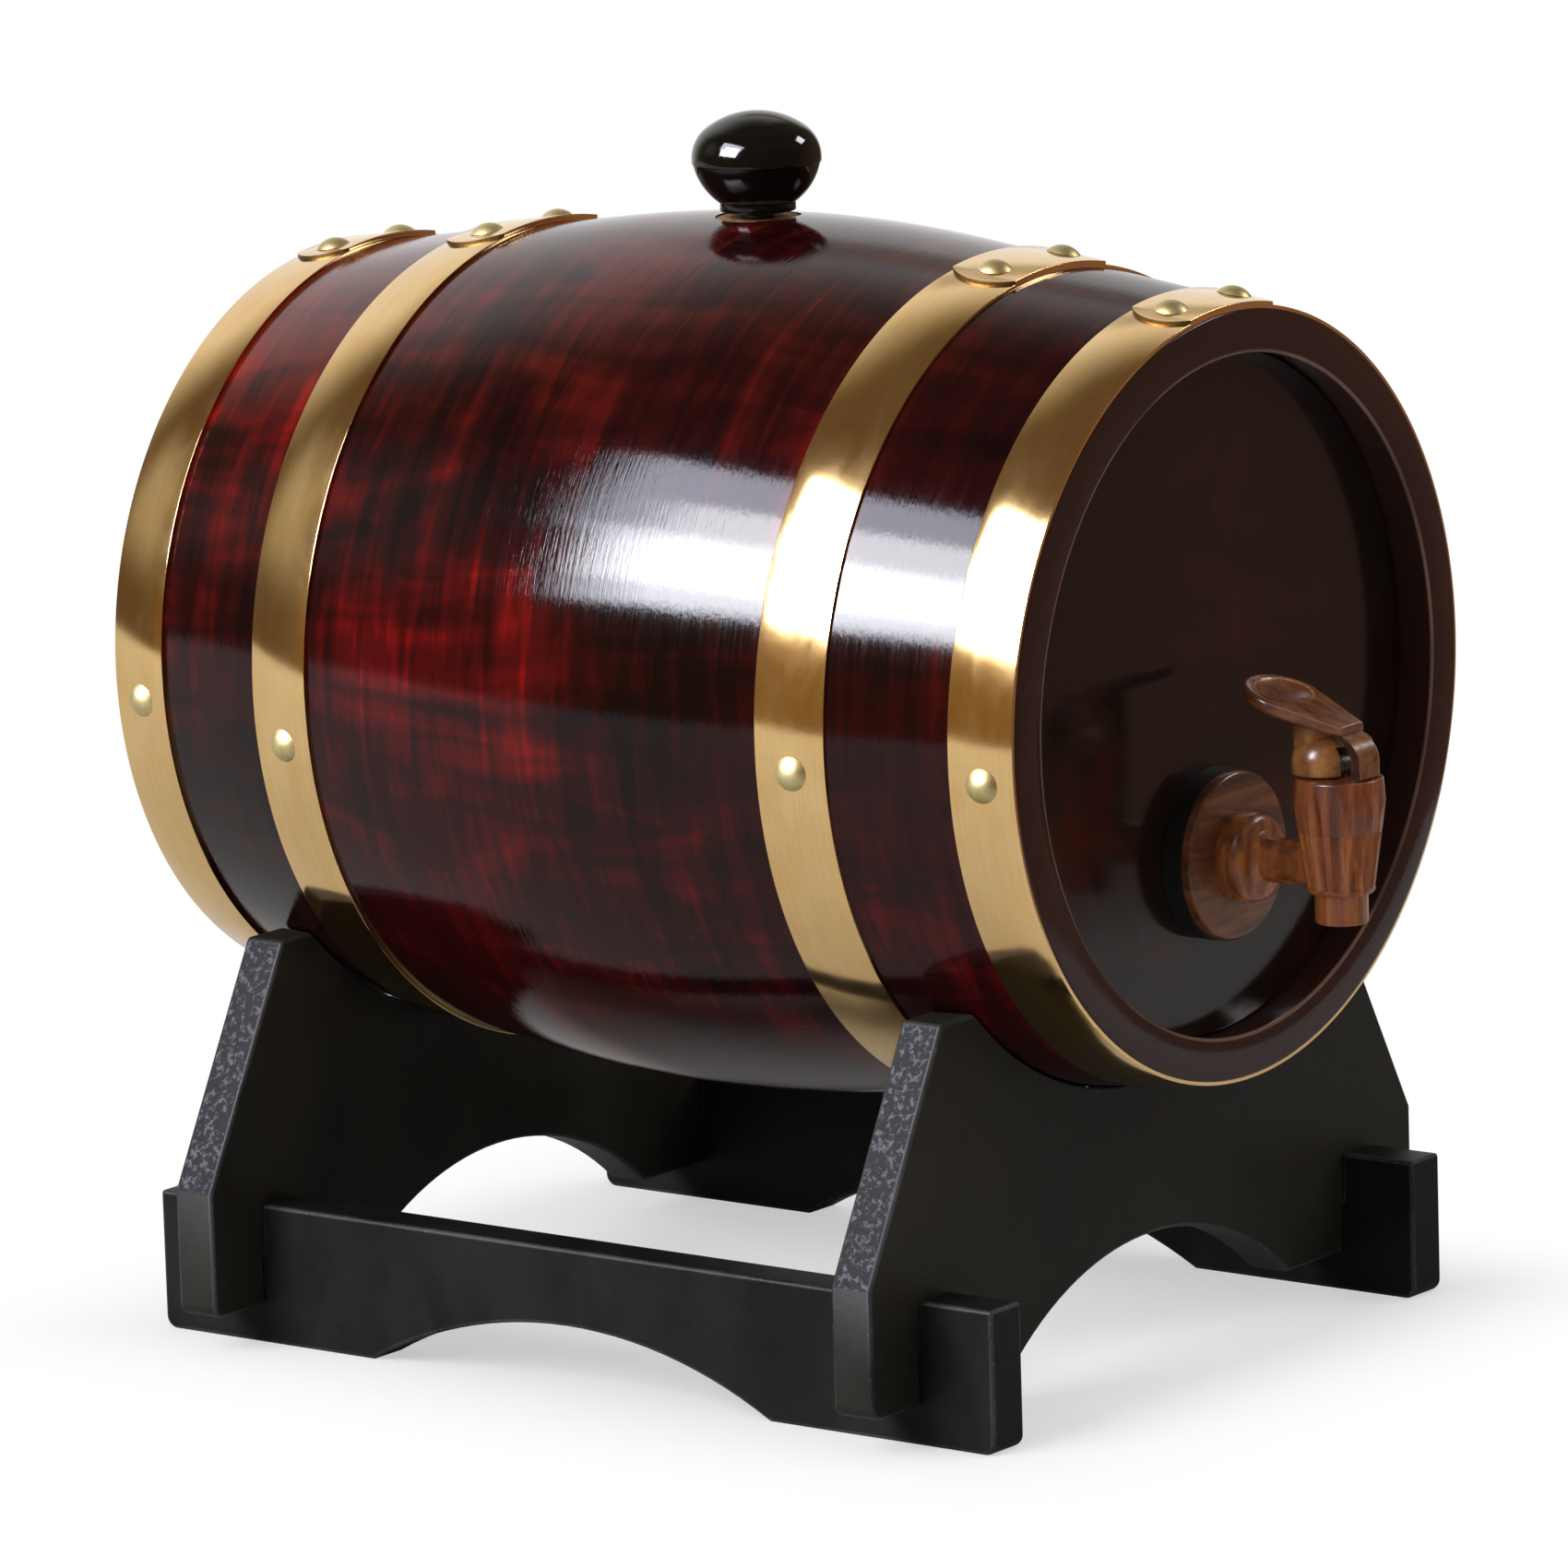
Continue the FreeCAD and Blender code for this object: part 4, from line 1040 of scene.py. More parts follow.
@dataclass
class Cask:
    """The sixteen staves and the two heads."""

    belly: float = 0.1025
    taper: float = 7.7
    bilge_half: float = 0.045
    half: float = 0.130
    thick: float = 0.010
    recess: float = 0.0093
    head_thick: float = 0.010
    bevel: float = 0.002
    rim_round: float = 0.0007
    tongue: float = 0.0048
    croze: float = 0.004
    gap: float = 0.0002
    edge: float = 0.0006
    staves: int = 16
    stave_steps: int = 18
    outside_steps: int = 24
    inside_steps: int = 12
    head_steps: int = 144
    bung_back: float = 0.0035
    cork_radius: float = 0.010
    cork_foot: float = 0.0085
    cork_length: float = 0.020
    cork_sunk: float = 0.0006
    cork_gap: float = 0.00005
    cork_bore: float = 0.030
    cork_bore_steps: int = 96
    tap_drop: float = 0.037
    tap_hole: float = 0.0084
    tap_bore: float = 0.06
    tap_bore_steps: int = 64
    lacquer: StaveLacquer = StaveLacquer()
    head_finish: HeadLacquer = HeadLacquer()

    def slope(self) -> float:
        """The taper as rise over run."""
        return math.tan(math.radians(self.taper))

    def chime(self) -> float:
        """The outside radius at the ends."""
        bilge_edge = self.belly - self.bilge_half * math.tan(math.radians(self.taper / 2))
        return bilge_edge - (self.half - self.bilge_half) * self.slope()

    def skin(self, along: float) -> float:
        """The outside radius of the tapered ends at a distance from the middle."""
        return self.chime() + (self.half - along) * self.slope()

    def wall(self, along: float) -> float:
        """The inside radius of the tapered ends at a distance from the middle."""
        return self.skin(along) - self.thick / math.cos(math.radians(self.taper))

    def at(self, radius: float, along: float, angle: float = 0) -> Vector:
        """A point at a radius, a distance along the cask and an angle from its top."""
        turn = math.radians(angle)
        return CASK_CENTRE + Vector((radius * math.sin(turn), along, radius * math.cos(turn)))

    def section(self) -> list[Point]:
        """Draws the outline of a stave.

        Returns:
            Its points as radius and distance along the cask.
        """
        curve = self.bilge_half / math.sin(math.radians(self.taper))
        middle = (self.belly - curve, 0.0)
        face = self.half - self.recess - self.bevel
        back = face - self.tongue
        floor = self.wall(self.half - self.recess) + self.croze
        outside = arc(middle, curve, -self.taper, self.taper, self.outside_steps)
        inside = arc(middle, curve - self.thick, self.taper, -self.taper, self.inside_steps)
        groove = [(self.wall(face), face), (floor, face), (floor, back), (self.wall(back), back)]
        corners = [
            (self.chime(), -self.half, self.edge),
            *[(x, y, 0.0) for x, y in outside],
            (self.chime(), self.half, self.edge),
            (self.wall(self.half), self.half, self.edge),
            *[(x, y, 0.0) for x, y in [*groove, *inside]],
            *[(x, -y, 0.0) for x, y in reversed(groove)],
            (self.wall(self.half), -self.half, self.edge),
        ]
        return rounded(corners, 3)

    def build_staves(self) -> list[Piece]:
        """Turns one stave, copies it round the cask and bores the bung hole into the top one.

        Returns:
            The staves in their places.
        """
        share = 360 / self.staves
        outline = [self.at(radius, along, -share / 2) for radius, along in self.section()]
        name = "stave_skin_01"
        first = Bench.spin(name, outline, CASK_CENTRE, ALONG, self.stave_steps, share, closed=True)
        made = [first]
        for number in range(1, self.staves):
            turn = Matrix.Rotation(math.radians(share * number), 4, "Y")
            move = Matrix.Translation(CASK_CENTRE) @ turn @ Matrix.Translation(-CASK_CENTRE)
            made.append(Bench.twin(first, f"stave_skin_{number + 1:02d}", move))
        self.bore_bung_hole(first)
        for number, stave in enumerate(made, 1):
            Bench.smooth(stave)
            Bench.square_to_axis(stave, CASK_CENTRE)
            Bench.hand_over(stave, f"stave_{number:02d}", "barrel", "stave_lacquer", self.lacquer)
        return made

    def bore_bung_hole(self, stave: Piece) -> None:
        """Bores the tapered hole that takes the cork.

        Args:
            stave: The stave on top.
        """
        growth = (self.cork_radius - self.cork_foot) / self.cork_length
        radius = self.cork_foot + self.cork_gap
        rise = self.belly - self.cork_sunk - self.cork_length
        Bench.clear()
        bpy.ops.mesh.primitive_cone_add(
            vertices=self.cork_bore_steps,
            radius1=radius,
            radius2=radius + growth * self.cork_bore,
            depth=self.cork_bore,
            location=CASK_CENTRE + Vector((0, self.bung_back, rise)) + UP * (self.cork_bore / 2),
        )
        Bench.cut(stave, Bench.settle("bung_hole"), Cut.OUTSIDE)

    def build_head(self, name: str, side: int) -> Piece:
        """Turns one head, with the tap's hole in the front one.

        Args:
            name: The node that it stands for.
            side: -1 for the front and 1 for the rear.

        Returns:
            The head.
        """
        face = self.half - self.recess
        front = face - self.bevel
        back = front - self.tongue
        inner = face - self.head_thick
        rim = self.wall(face) + self.croze - self.gap
        shoulder = self.wall(front) - self.gap
        corners = [
            (0.0, face, 0.0),
            (self.wall(face) - self.gap, face, self.rim_round),
            (shoulder, front, 0.0),
            (rim, front, 0.0),
            (rim, back, 0.0),
            (shoulder, back, 0.0),
            (shoulder, inner, self.rim_round),
            (0.0, inner, 0.0),
        ]
        points = [self.at(radius, side * along) for radius, along in rounded(corners)]
        head = Bench.spin(f"{name}_skin", points, CASK_CENTRE, ALONG, self.head_steps)
        if side < 0:
            Bench.clear()
            bpy.ops.mesh.primitive_cylinder_add(
                vertices=self.tap_bore_steps,
                radius=self.tap_hole,
                depth=self.tap_bore,
                location=CASK_CENTRE + Vector((0, -face, -self.tap_drop)),
                rotation=(math.pi / 2, 0, 0),
            )
            Bench.cut(head, Bench.settle("tap_hole"), Cut.OUTSIDE)
        Bench.smooth(head, 20)
        Bench.weigh(head)
        return Bench.hand_over(head, name, "barrel", "head_lacquer", self.head_finish)

    def build(self) -> list[Piece]:
        """Builds the staves and the heads."""
        staves = self.build_staves()
        return [*staves, self.build_head("front_head", -1), self.build_head("rear_head", 1)]


@dataclass
class Hoop:
    """One brass hoop: a tapered band, the tongue riveted over it and its four nails."""

    name: str
    side: int
    outer: float
    width: float
    flank_angle: float
    cask: Cask
    thick: float = 0.0008
    edge: float = 0.00015
    band_steps: int = 288
    lap_angle: float = 13
    lap_spare: float = 4
    lap_steps: int = 34
    lap_foot: float = 0.9
    lap_bow: float = 0.004
    bow_steps: int = 16
    seam_turn: float = 0.3
    plan_share: float = 0.8
    plan_height: float = 0.03
    lap_nail_angle: float = 8
    nail_radius: float = 0.004
    nail_rise: float = 0.0019
    shank_radius: float = 0.0012
    nail_depth: float = 0.0065
    dome_steps: int = 10
    nail_steps: int = 40
    brass: Brass = Brass()
    seam_brass: Brass = Brass(
        "hoop_seam", srgb(104, 80, 46), srgb(58, 42, 24), gloss=0.4, relief=0.00002
    )
    nail_brass: Brass = Brass(
        "nail_brass",
        srgb(190, 176, 130),
        srgb(165, 144, 94),
        gloss=0.42,
        line=Grain((300, 300, 300), 3, 0.6),
        relief=0.00003,
    )

    def layer(self, along: float, layers: float) -> float:
        """The radius over so many thicknesses of band."""
        return self.cask.skin(along) + layers * self.thick / math.cos(math.radians(self.cask.taper))

    def section(self, low: float, high: float, angle: float = 0) -> list[Vector]:
        """Draws a section of the band, its outward corners rounded.

        Args:
            low: How many thicknesses of band lie under it.
            high: How many there are up to its outside.
            angle: Its angle from the cask's top.

        Returns:
            The outline's points in order.
        """
        inner = self.outer - self.width
        corners = [
            (self.layer(inner, low), inner, 0.0),
            (self.layer(inner, high), inner, self.edge),
            (self.layer(self.outer, high), self.outer, self.edge),
            (self.layer(self.outer, low), self.outer, 0.0),
        ]
        outline = rounded(corners, 3)
        return [self.cask.at(radius, self.side * along, angle) for radius, along in outline]

    def build_band(self) -> Piece:
        """Turns the band and cuts the tongue over its joint.

        Returns:
            The two as one piece, the tongue's bowed ends in a darker finish.
        """
        node = f"{self.name}_hoop"
        outline = self.section(0, 1)
        band = Bench.spin("band", outline, CASK_CENTRE, ALONG, self.band_steps, closed=True)
        reach = self.lap_angle + self.lap_spare
        outline = self.section(self.lap_foot, 2, -reach)
        tongue = Bench.spin(
            "tongue", outline, CASK_CENTRE, ALONG, self.lap_steps, 2 * reach, closed=True
        )
        Bench.cut(tongue, self.tongue_plan(), Cut.INSIDE)
        for piece in (band, tongue):
            piece.data.materials.append(self.brass.material())
        tongue.data.materials.append(self.seam_brass.material())
        for face in tongue.data.polygons:
            turned = abs(face.normal.dot(way_round(face.center, CASK_CENTRE)))
            face.material_index = 1 if turned > self.seam_turn else 0
        hoop = Bench.join(f"{node}_skin", band, tongue)
        Bench.smooth(hoop)
        Bench.square_to_axis(hoop, CASK_CENTRE)
        return Bench.hand_over(hoop, node, "barrel", "hoop_brass")

    def tongue_plan(self) -> Piece:
        """Makes the upright block whose bowed ends cut the tongue to shape.

        Returns:
            The block.
        """
        inner = self.outer - self.width
        reach = self.cask.skin(inner) * math.sin(math.radians(self.lap_angle)) - self.lap_bow
        bow = (self.width**2 / 4 + self.lap_bow**2) / (2 * self.lap_bow)
        sweep = math.degrees(math.asin(self.width / 2 / bow))
        middle = self.side * (self.outer - self.width / 2)
        right = arc((reach + self.lap_bow - bow, middle), bow, -sweep, sweep, self.bow_steps)
        hub = (bow - reach - self.lap_bow, middle)
        left = arc(hub, bow, 180 - sweep, 180 + sweep, self.bow_steps)
        low = self.cask.belly * self.plan_share
        points = [CASK_CENTRE + Vector((x, y, low)) for x, y in [*right, *left]]
        block = Bench.trace("tongue_plan", points)
        rise = (0, 0, self.plan_height)
        bpy.ops.mesh.extrude_region_move(TRANSFORM_OT_translate={"value": rise})
        bpy.ops.mesh.select_all(action="SELECT")
        bpy.ops.mesh.normals_make_consistent(inside=False)
        Bench.done()
        return block

    def build_nails(self) -> Piece:
        """Turns one domed nail and copies it to its four places.

        Returns:
            The four nails as one piece.
        """
        dome = (self.nail_radius**2 + self.nail_rise**2) / (2 * self.nail_rise)
        foot = math.degrees(math.acos((dome - self.nail_rise) / dome))
        outline = [
            *arc((0, self.nail_rise - dome), dome, 90, 90 - foot, self.dome_steps),
            (self.shank_radius, 0.0),
            (self.shank_radius, self.shank_radius - self.nail_depth),
            (0.0, -self.nail_depth),
        ]
        points = [Vector((x, 0, z)) for x, z in outline]
        nail = Bench.spin("nail", points, Vector(), UP, self.nail_steps)
        along = self.outer - self.width / 2
        tilt = Matrix.Rotation(math.radians(-self.side * self.cask.taper), 4, "X")
        made = []
        for angle, layers in ((self.lap_nail_angle, 2), (self.flank_angle, 1)):
            for turned in (angle, -angle):
                spot = self.cask.at(self.layer(along, layers), self.side * along, turned)
                turn = Matrix.Rotation(math.radians(turned), 4, "Y")
                move = Matrix.Translation(spot) @ turn @ tilt
                made.append(Bench.twin(nail, f"nail_{len(made)}", move))
        bpy.data.objects.remove(nail)
        node = f"{self.name}_hoop_nails"
        nails = Bench.join(f"{node}_skin", *made)
        Bench.smooth(nails, 35)
        return Bench.hand_over(nails, node, "barrel", "nail_brass", self.nail_brass)

    def build(self) -> list[Piece]:
        """Builds the band and its nails."""
        return [self.build_band(), self.build_nails()]


@dataclass
class Bung:
    """The turned knob and the cork beneath it."""

    cask: Cask
    rise: float = 0.0243
    radius: float = 0.0152
    middle: float = 0.0133
    side_round: float = 0.009
    ridge: float = 0.0003
    ridge_low: float = 0.0122
    collar_foot: float = 0.001
    collar_top: float = 0.003
    collar_radius: float = 0.0089
    collar_lip: float = 0.001
    collar_round: float = 0.0004
    dowel_radius: float = 0.004
    dowel_depth: float = 0.016
    cork_edge: float = 0.0004
    knob_steps: int = 96
    cork_steps: int = 64
    gloss: KnobGloss = KnobGloss()
    cork: Cork = Cork()

    def knob_outline(self) -> list[Point]:
        """Draws half the outline of the knob.

        Returns:
            Its points as radius and height.
        """
        shoulder = self.radius - self.side_round
        crown = self.rise - self.middle
        top_round = (shoulder**2 + crown**2 - self.side_round**2) / (2 * (crown - self.side_round))
        top_centre = self.rise - top_round
        meet = math.degrees(math.atan2(self.middle - top_centre, shoulder))
        low = Vector((self.collar_radius, self.collar_top))
        high = Vector((self.radius - self.ridge, self.ridge_low))
        chord = high - low
        reach = math.sqrt(self.radius**2 - chord.length_squared / 4)
        hub = (low + high) / 2 + Vector((-chord.y, chord.x)).normalized() * reach
        start, end = (math.degrees(math.atan2(p.y - hub.y, p.x - hub.x)) for p in (low, high))
        collar = [
            (self.collar_radius - self.collar_lip, self.collar_foot, 0.0),
            (self.collar_radius, self.collar_foot, self.collar_round),
            (self.collar_radius, self.collar_top, 0.0),
        ]
        ridge_centre = (self.radius - self.ridge, self.ridge_low + self.ridge)
        return [
            (0.0, -self.dowel_depth),
            (self.dowel_radius, -self.dowel_depth),
            (self.dowel_radius, self.collar_foot),
            *rounded(collar),
            *arc((hub.x, hub.y), self.radius, start, end, 14),
            *arc(ridge_centre, self.ridge, -90, 0, 3),
            *arc((shoulder, self.middle), self.side_round, 0, meet, 20),
            *arc((0.0, top_centre), top_round, meet, 90, 14),
        ]

    def cork_outline(self) -> list[Point]:
        """Draws half the outline of the cork.

        Returns:
            Its points as radius and height.
        """
        top = -self.cask.cork_sunk
        low = top - self.cask.cork_length
        corners = [
            (0.0, low, 0.0),
            (self.cask.cork_foot, low, self.cork_edge),
            (self.cask.cork_radius, top, self.cork_edge),
            (self.dowel_radius, top, 0.0),
            (self.dowel_radius, -self.dowel_depth, 0.0),
            (0.0, -self.dowel_depth, 0.0),
        ]
        return rounded(corners)

    def turn(self, node: str, outline: Sequence[Point], steps: int, finish: Finish) -> Piece:
        """Turns one of the two pieces.

        Args:
            node: The node that it stands for.
            outline: Half its outline as radius and height.
            steps: How many steps the turn has.
            finish: Its finish.

        Returns:
            The piece.
        """
        foot = CASK_CENTRE + Vector((0, self.cask.bung_back, self.cask.belly))
        points = [foot + Vector((x, 0, z)) for x, z in outline]
        piece = Bench.spin(f"{node}_skin", points, foot, UP, steps)
        Bench.smooth(piece, 40)
        return Bench.hand_over(piece, node, "bung", finish.name, finish)

    def build(self) -> list[Piece]:
        """Turns the knob and the cork."""
        knob = self.turn("bung_knob", self.knob_outline(), self.knob_steps, self.gloss)
        return [knob, self.turn("bung_cork", self.cork_outline(), self.cork_steps, self.cork)]


class LeverTone(IntEnum):
    """The slots of the lever's tones: its own brown, and copies of it with painted light, painted
    highlight and painted shade.
    """

    # painted light on the heel
    PADDLE = 0
    # painted light on the strap's front
    HEEL = 1
    STRAP = 2
    # painted highlight on the rounded edges
    RIM = 3
    # painted shade on the strap's sides and inside
    SHADE = 4


@dataclass
class Tap:
    """The press tap: its moulded parts, its fixing and the valve inside."""

    wood: TapWood = TapWood()
    lever_wood: TapWood = TapWood(
        "tap_brown_lever",
        srgb(150, 92, 56),
        srgb(104, 58, 36),
        srgb(54, 27, 18),
        LENGTHWISE,
        (-18.5, 0, 0),
    )
    # painted light: a lighter copy of the lever's brown for the heel, which catches more light than
    # the paddle
    lit_heel_wood: TapWood = TapWood(
        "tap_brown_heel_lit", srgb(190, 134, 78), srgb(146, 92, 50), srgb(96, 52, 28), (210, 210, 190)
    )
    # painted light: a lighter copy of the lever's brown for the strap's front faces
    lit_strap_wood: TapWood = TapWood(
        "tap_brown_strap_lit", srgb(152, 98, 58), srgb(112, 68, 40), srgb(58, 32, 19), LENGTHWISE
    )
    # painted shade: a darker copy of it for the strap's sides and inside
    shade_wood: TapWood = TapWood(
        "tap_brown_shade", srgb(84, 48, 29), srgb(52, 27, 17), srgb(28, 14, 9), LENGTHWISE
    )
    # painted highlight: a pale copy of the lever's brown for the rounded strap edge and the dish
    # rim
    rim_highlight_wood: TapWood = TapWood(
        "tap_brown_rim_highlight", srgb(206, 156, 108), srgb(170, 116, 74), srgb(110, 66, 40)
    )
    bonnet_wood: TapWood = TapWood(
        "tap_brown_bonnet", srgb(170, 102, 58), srgb(120, 62, 37), srgb(60, 29, 18)
    )
    # painted shade: a darker copy of the tap's brown for the rosette, which lies in shade against
    # the head; its grain runs across
    shaded_rosette_wood: TapWood = TapWood(
        "tap_brown_rosette_shaded", srgb(130, 80, 50), srgb(82, 46, 29), srgb(36, 19, 13), (40, 300, 300)
    )
    rubber: Moulded = Moulded()
    silicone: Moulded = Moulded("seal_silicone", srgb(196, 192, 184), srgb(214, 210, 203), 0.5)
    nylon: Moulded = Moulded("nut_plastic", srgb(34, 33, 33), srgb(48, 47, 47), 0.45)
    steel: Moulded = Moulded(
        "tap_steel", srgb(190, 190, 192), srgb(206, 206, 208), 0.28, 1.0, relief=0.000008
    )
    edge: float = 0.00012
    crease: float = 32
    lever_crease: float = 22
    flat: float = 1
    touch: float = 0.00005
    plunger_travel: float = 0.00337
    strap_half: float = 0.004304
    strap_round: float = 0.0007
    strap_low: float = 0.0216
    strap_top: float = 0.0295
    strap_front: float = -0.0045
    strap_back: float = -0.0041
    root_back: float = -0.003
    root_top: float = 0.0305
    front_lean: float = -0.35
    side_lean: float = 0.5
    edge_lean: float = -0.2
    slope: float = 18.5
    paddle_front: float = -0.004
    paddle_rise: float = 0.03315
    paddle_thick: float = 0.0041
    dish_back: float = 0.0145
    dish_half: float = 0.008
    dish_length: float = 0.0063
    dish_slack: float = 0.08
    rim_round: float = 0.0003

    def skin(self, node: str, body: str, slot: str, finish: Finish, edge: float = 0.0) -> Piece:
        """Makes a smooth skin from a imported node.

        Args:
            node: The node.
            body: The body it rides on.
            slot: The record's slot of its finish.
            finish: Its finish.
            edge: How wide its sharp edges are rounded.

        Returns:
            The skin.
        """
        piece = Bench.copy_of(node)
        if edge > 0:
            Bench.soften(piece, edge, 2, 50)
        Bench.smooth(piece, self.crease)
        return Bench.hand_over(piece, node, body, slot, finish)

    def dress(self, node: str, finish: Finish) -> None:
        """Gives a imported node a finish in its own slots.

        Args:
            node: The node.
            finish: The finish.
        """
        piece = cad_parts[node]
        if not piece.material_slots:
            piece.data.materials.append(finish.material())
        for slot in piece.material_slots:
            slot.material = finish.material()

    def on_strap_edge(self, middle: Vector, normal: Vector) -> bool:
        """Says whether an edge is the front one of the strap's +X side.

        Args:
            middle: The edge's middle.
            normal: Its normal.

        Returns:
            Whether it is.
        """
        spot = middle - TAP_CENTRE
        beside = abs(spot.x - self.strap_half) < self.touch
        along = spot.y < self.strap_front and self.strap_low < spot.z < self.strap_top
        return beside and along and normal.y < self.edge_lean

    def paddle_top(self, back: float) -> float:
        """The height of the paddle's top at a distance behind the housing's axis."""
        return self.paddle_rise + (back - self.paddle_front) * math.tan(math.radians(self.slope))

    def on_dish_rim(self, middle: Vector, normal: Vector) -> bool:
        """Says whether an edge is on the rim of the thumb dish.

        Args:
            middle: The edge's middle.
            normal: Its normal, which doesn't count here.

        Returns:
            Whether it is.
        """
        spot = middle - TAP_CENTRE
        run = (spot.y - self.dish_back) / math.cos(math.radians(self.slope))
        ring = (spot.x / self.dish_half) ** 2 + (run / self.dish_length) ** 2
        level = abs(spot.z - self.paddle_top(spot.y)) < self.touch
        return level and abs(ring - 1) < self.dish_slack

    def tone_of(self, spot: Vector, normal: Vector) -> LeverTone:
        """Chooses the tone of a face of the lever, painting light and shade by which way the face
        looks and where it lies.

        Args:
            spot: The face's middle, counted from the tap's centre.
            normal: Its normal.

        Returns:
            The tone.
        """
        at_root = spot.y < self.root_back and spot.z < self.root_top
        # faces of the strap that look to the front get painted light, the rest painted shade
        if spot.y < self.strap_back or at_root:
            outward = normal.y < self.front_lean and abs(normal.x) < self.side_lean
            return LeverTone.STRAP if outward else LeverTone.SHADE
        # the heel below the paddle takes the painted light tone
        deep = self.paddle_top(spot.y) - spot.z > self.paddle_thick
        return LeverTone.HEEL if deep else LeverTone.PADDLE

    def build_lever(self) -> Piece:
        """Makes the lever, its strap's and dish's edges rounded under a painted highlight, and each
        part in its tone, with painted light and shade.

        Returns:
            The lever.
        """
        lever = self.skin("tap_lever", "lever", "tap_brown", self.lever_wood)
        for finish in (self.lit_heel_wood, self.lit_strap_wood, self.rim_highlight_wood, self.shade_wood):
            lever.data.materials.append(finish.material())
        Bench.edit(lever)
        bpy.ops.mesh.dissolve_limited(angle_limit=math.radians(self.flat))
        edges = ((self.on_strap_edge, self.strap_round), (self.on_dish_rim, self.rim_round))
        for test, width in edges:
            Bench.pick_edges(lever, test)
            # the roundings take the painted highlight tone
            bpy.ops.mesh.bevel(offset=width, segments=2, affect="EDGES", material=LeverTone.RIM)
        Bench.done()
        for face in lever.data.polygons:
            if face.material_index == LeverTone.PADDLE:
                face.material_index = self.tone_of(face.center - TAP_CENTRE, face.normal)
        Bench.smooth(lever, self.lever_crease)
        return lever

    def squash_spring(self, spring: Piece) -> None:
        """Gives the spring a mesh of its own.

        Args:
            spring: The spring.
        """
        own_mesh(spring)

    def build(self) -> list[Piece]:
        """Builds the visible parts and dresses the hidden ones.

        Returns:
            The visible parts.
        """
        made = [
            self.skin("tap_body", "barrel", "tap_brown", self.wood, self.edge),
            self.skin("tap_bonnet", "barrel", "tap_brown", self.bonnet_wood, self.edge),
            self.build_lever(),
            self.skin("tap_rosette", "barrel", "tap_brown", self.shaded_rosette_wood),
            self.skin("tap_washer_outer", "barrel", "tap_rubber", self.rubber),
            self.skin("tap_washer_inner", "barrel", "tap_rubber", self.rubber),
            self.skin("tap_nut", "barrel", "nut_plastic", self.nylon),
            self.skin("tap_stem", "plunger", "nut_plastic", self.nylon),
            self.skin("tap_spring", "plunger", "tap_steel", self.steel),
        ]
        self.squash_spring(made[-1])
        self.dress("tap_lever_pin", self.steel)
        for node in ("tap_o_ring", "tap_seat_plug"):
            self.dress(node, self.silicone)
        for node in ("tap_gland_washer", "tap_spring_retainer"):
            self.dress(node, self.nylon)
        return made


class BoardTone(IntEnum):
    """The slots of a board's finishes."""

    PAINT = 0
    WORN = 1
    # dust and painted sheen on the upward slopes
    DUSTY = 2


@dataclass
class Cradle:
    """The black cradle of two rails and two saddle boards."""

    edge: float = 0.0009
    flat: float = 1
    slope_area: float = 0.0001
    slope_sideways: float = 0.3
    slope_low: float = 0.2
    slope_high: float = 0.9
    black: StandBlack = StandBlack()
    worn: StandBlack = StandBlack(
        "stand_worn_edge", srgb(22, 21, 21), srgb(70, 69, 72), srgb(140, 138, 144), 0.6
    )
    # dust and painted sheen: a paler, bluish grey with more specks for the upward slopes
    dust_and_sheen: StandBlack = StandBlack(
        "stand_slope_dust_and_sheen",
        srgb(34, 34, 39),
        srgb(54, 53, 59),
        srgb(112, 110, 120),
        specks=0.9,
        rough=0.6,
        sheen=0.05,
        dust=Grain((640, 640, 640), 3, 0.7),
        bare=0.5,
    )
    board_black: StandBlack = StandBlack("stand_board_black", srgb(30, 28, 24), srgb(44, 41, 35))

    def dust_and_sheen_slopes(self, board: Piece) -> None:
        """Gives a board's upward sloping sides the paler finish of dust and painted sheen.

        Args:
            board: The board.
        """
        for face in board.data.polygons:
            upward = self.slope_low < face.normal.z < self.slope_high
            slopes = abs(face.normal.y) < self.slope_sideways and upward
            if slopes and face.area > self.slope_area:
                face.material_index = BoardTone.DUSTY

    def build_board(self, node: str, black: StandBlack) -> Piece:
        """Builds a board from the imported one, with eased and worn edges.

        Args:
            node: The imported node.
            black: The finish of its faces.

        Returns:
            The board.
        """
        board = Bench.copy_of(node)
        Bench.edit(board)
        bpy.ops.mesh.dissolve_limited(angle_limit=math.radians(self.flat))
        Bench.done()
        for finish in (black, self.worn, self.dust_and_sheen):
            board.data.materials.append(finish.material())
        Bench.soften(board, self.edge, 3, 40, finish=BoardTone.WORN)
        self.dust_and_sheen_slopes(board)
        Bench.smooth(board, 35)
        Bench.weigh(board)
        return Bench.hand_over(board, node, "stand", "stand_black")

    def build(self) -> list[Piece]:
        """Builds the two rails and then the two boards.

        Returns:
            The four.
        """
        boards = {
            "stand_rail_left": self.black,
            "stand_rail_right": self.black,
            "stand_board_front": self.board_black,
            "stand_board_rear": self.board_black,
        }
        return [self.build_board(node, black) for node, black in boards.items()]


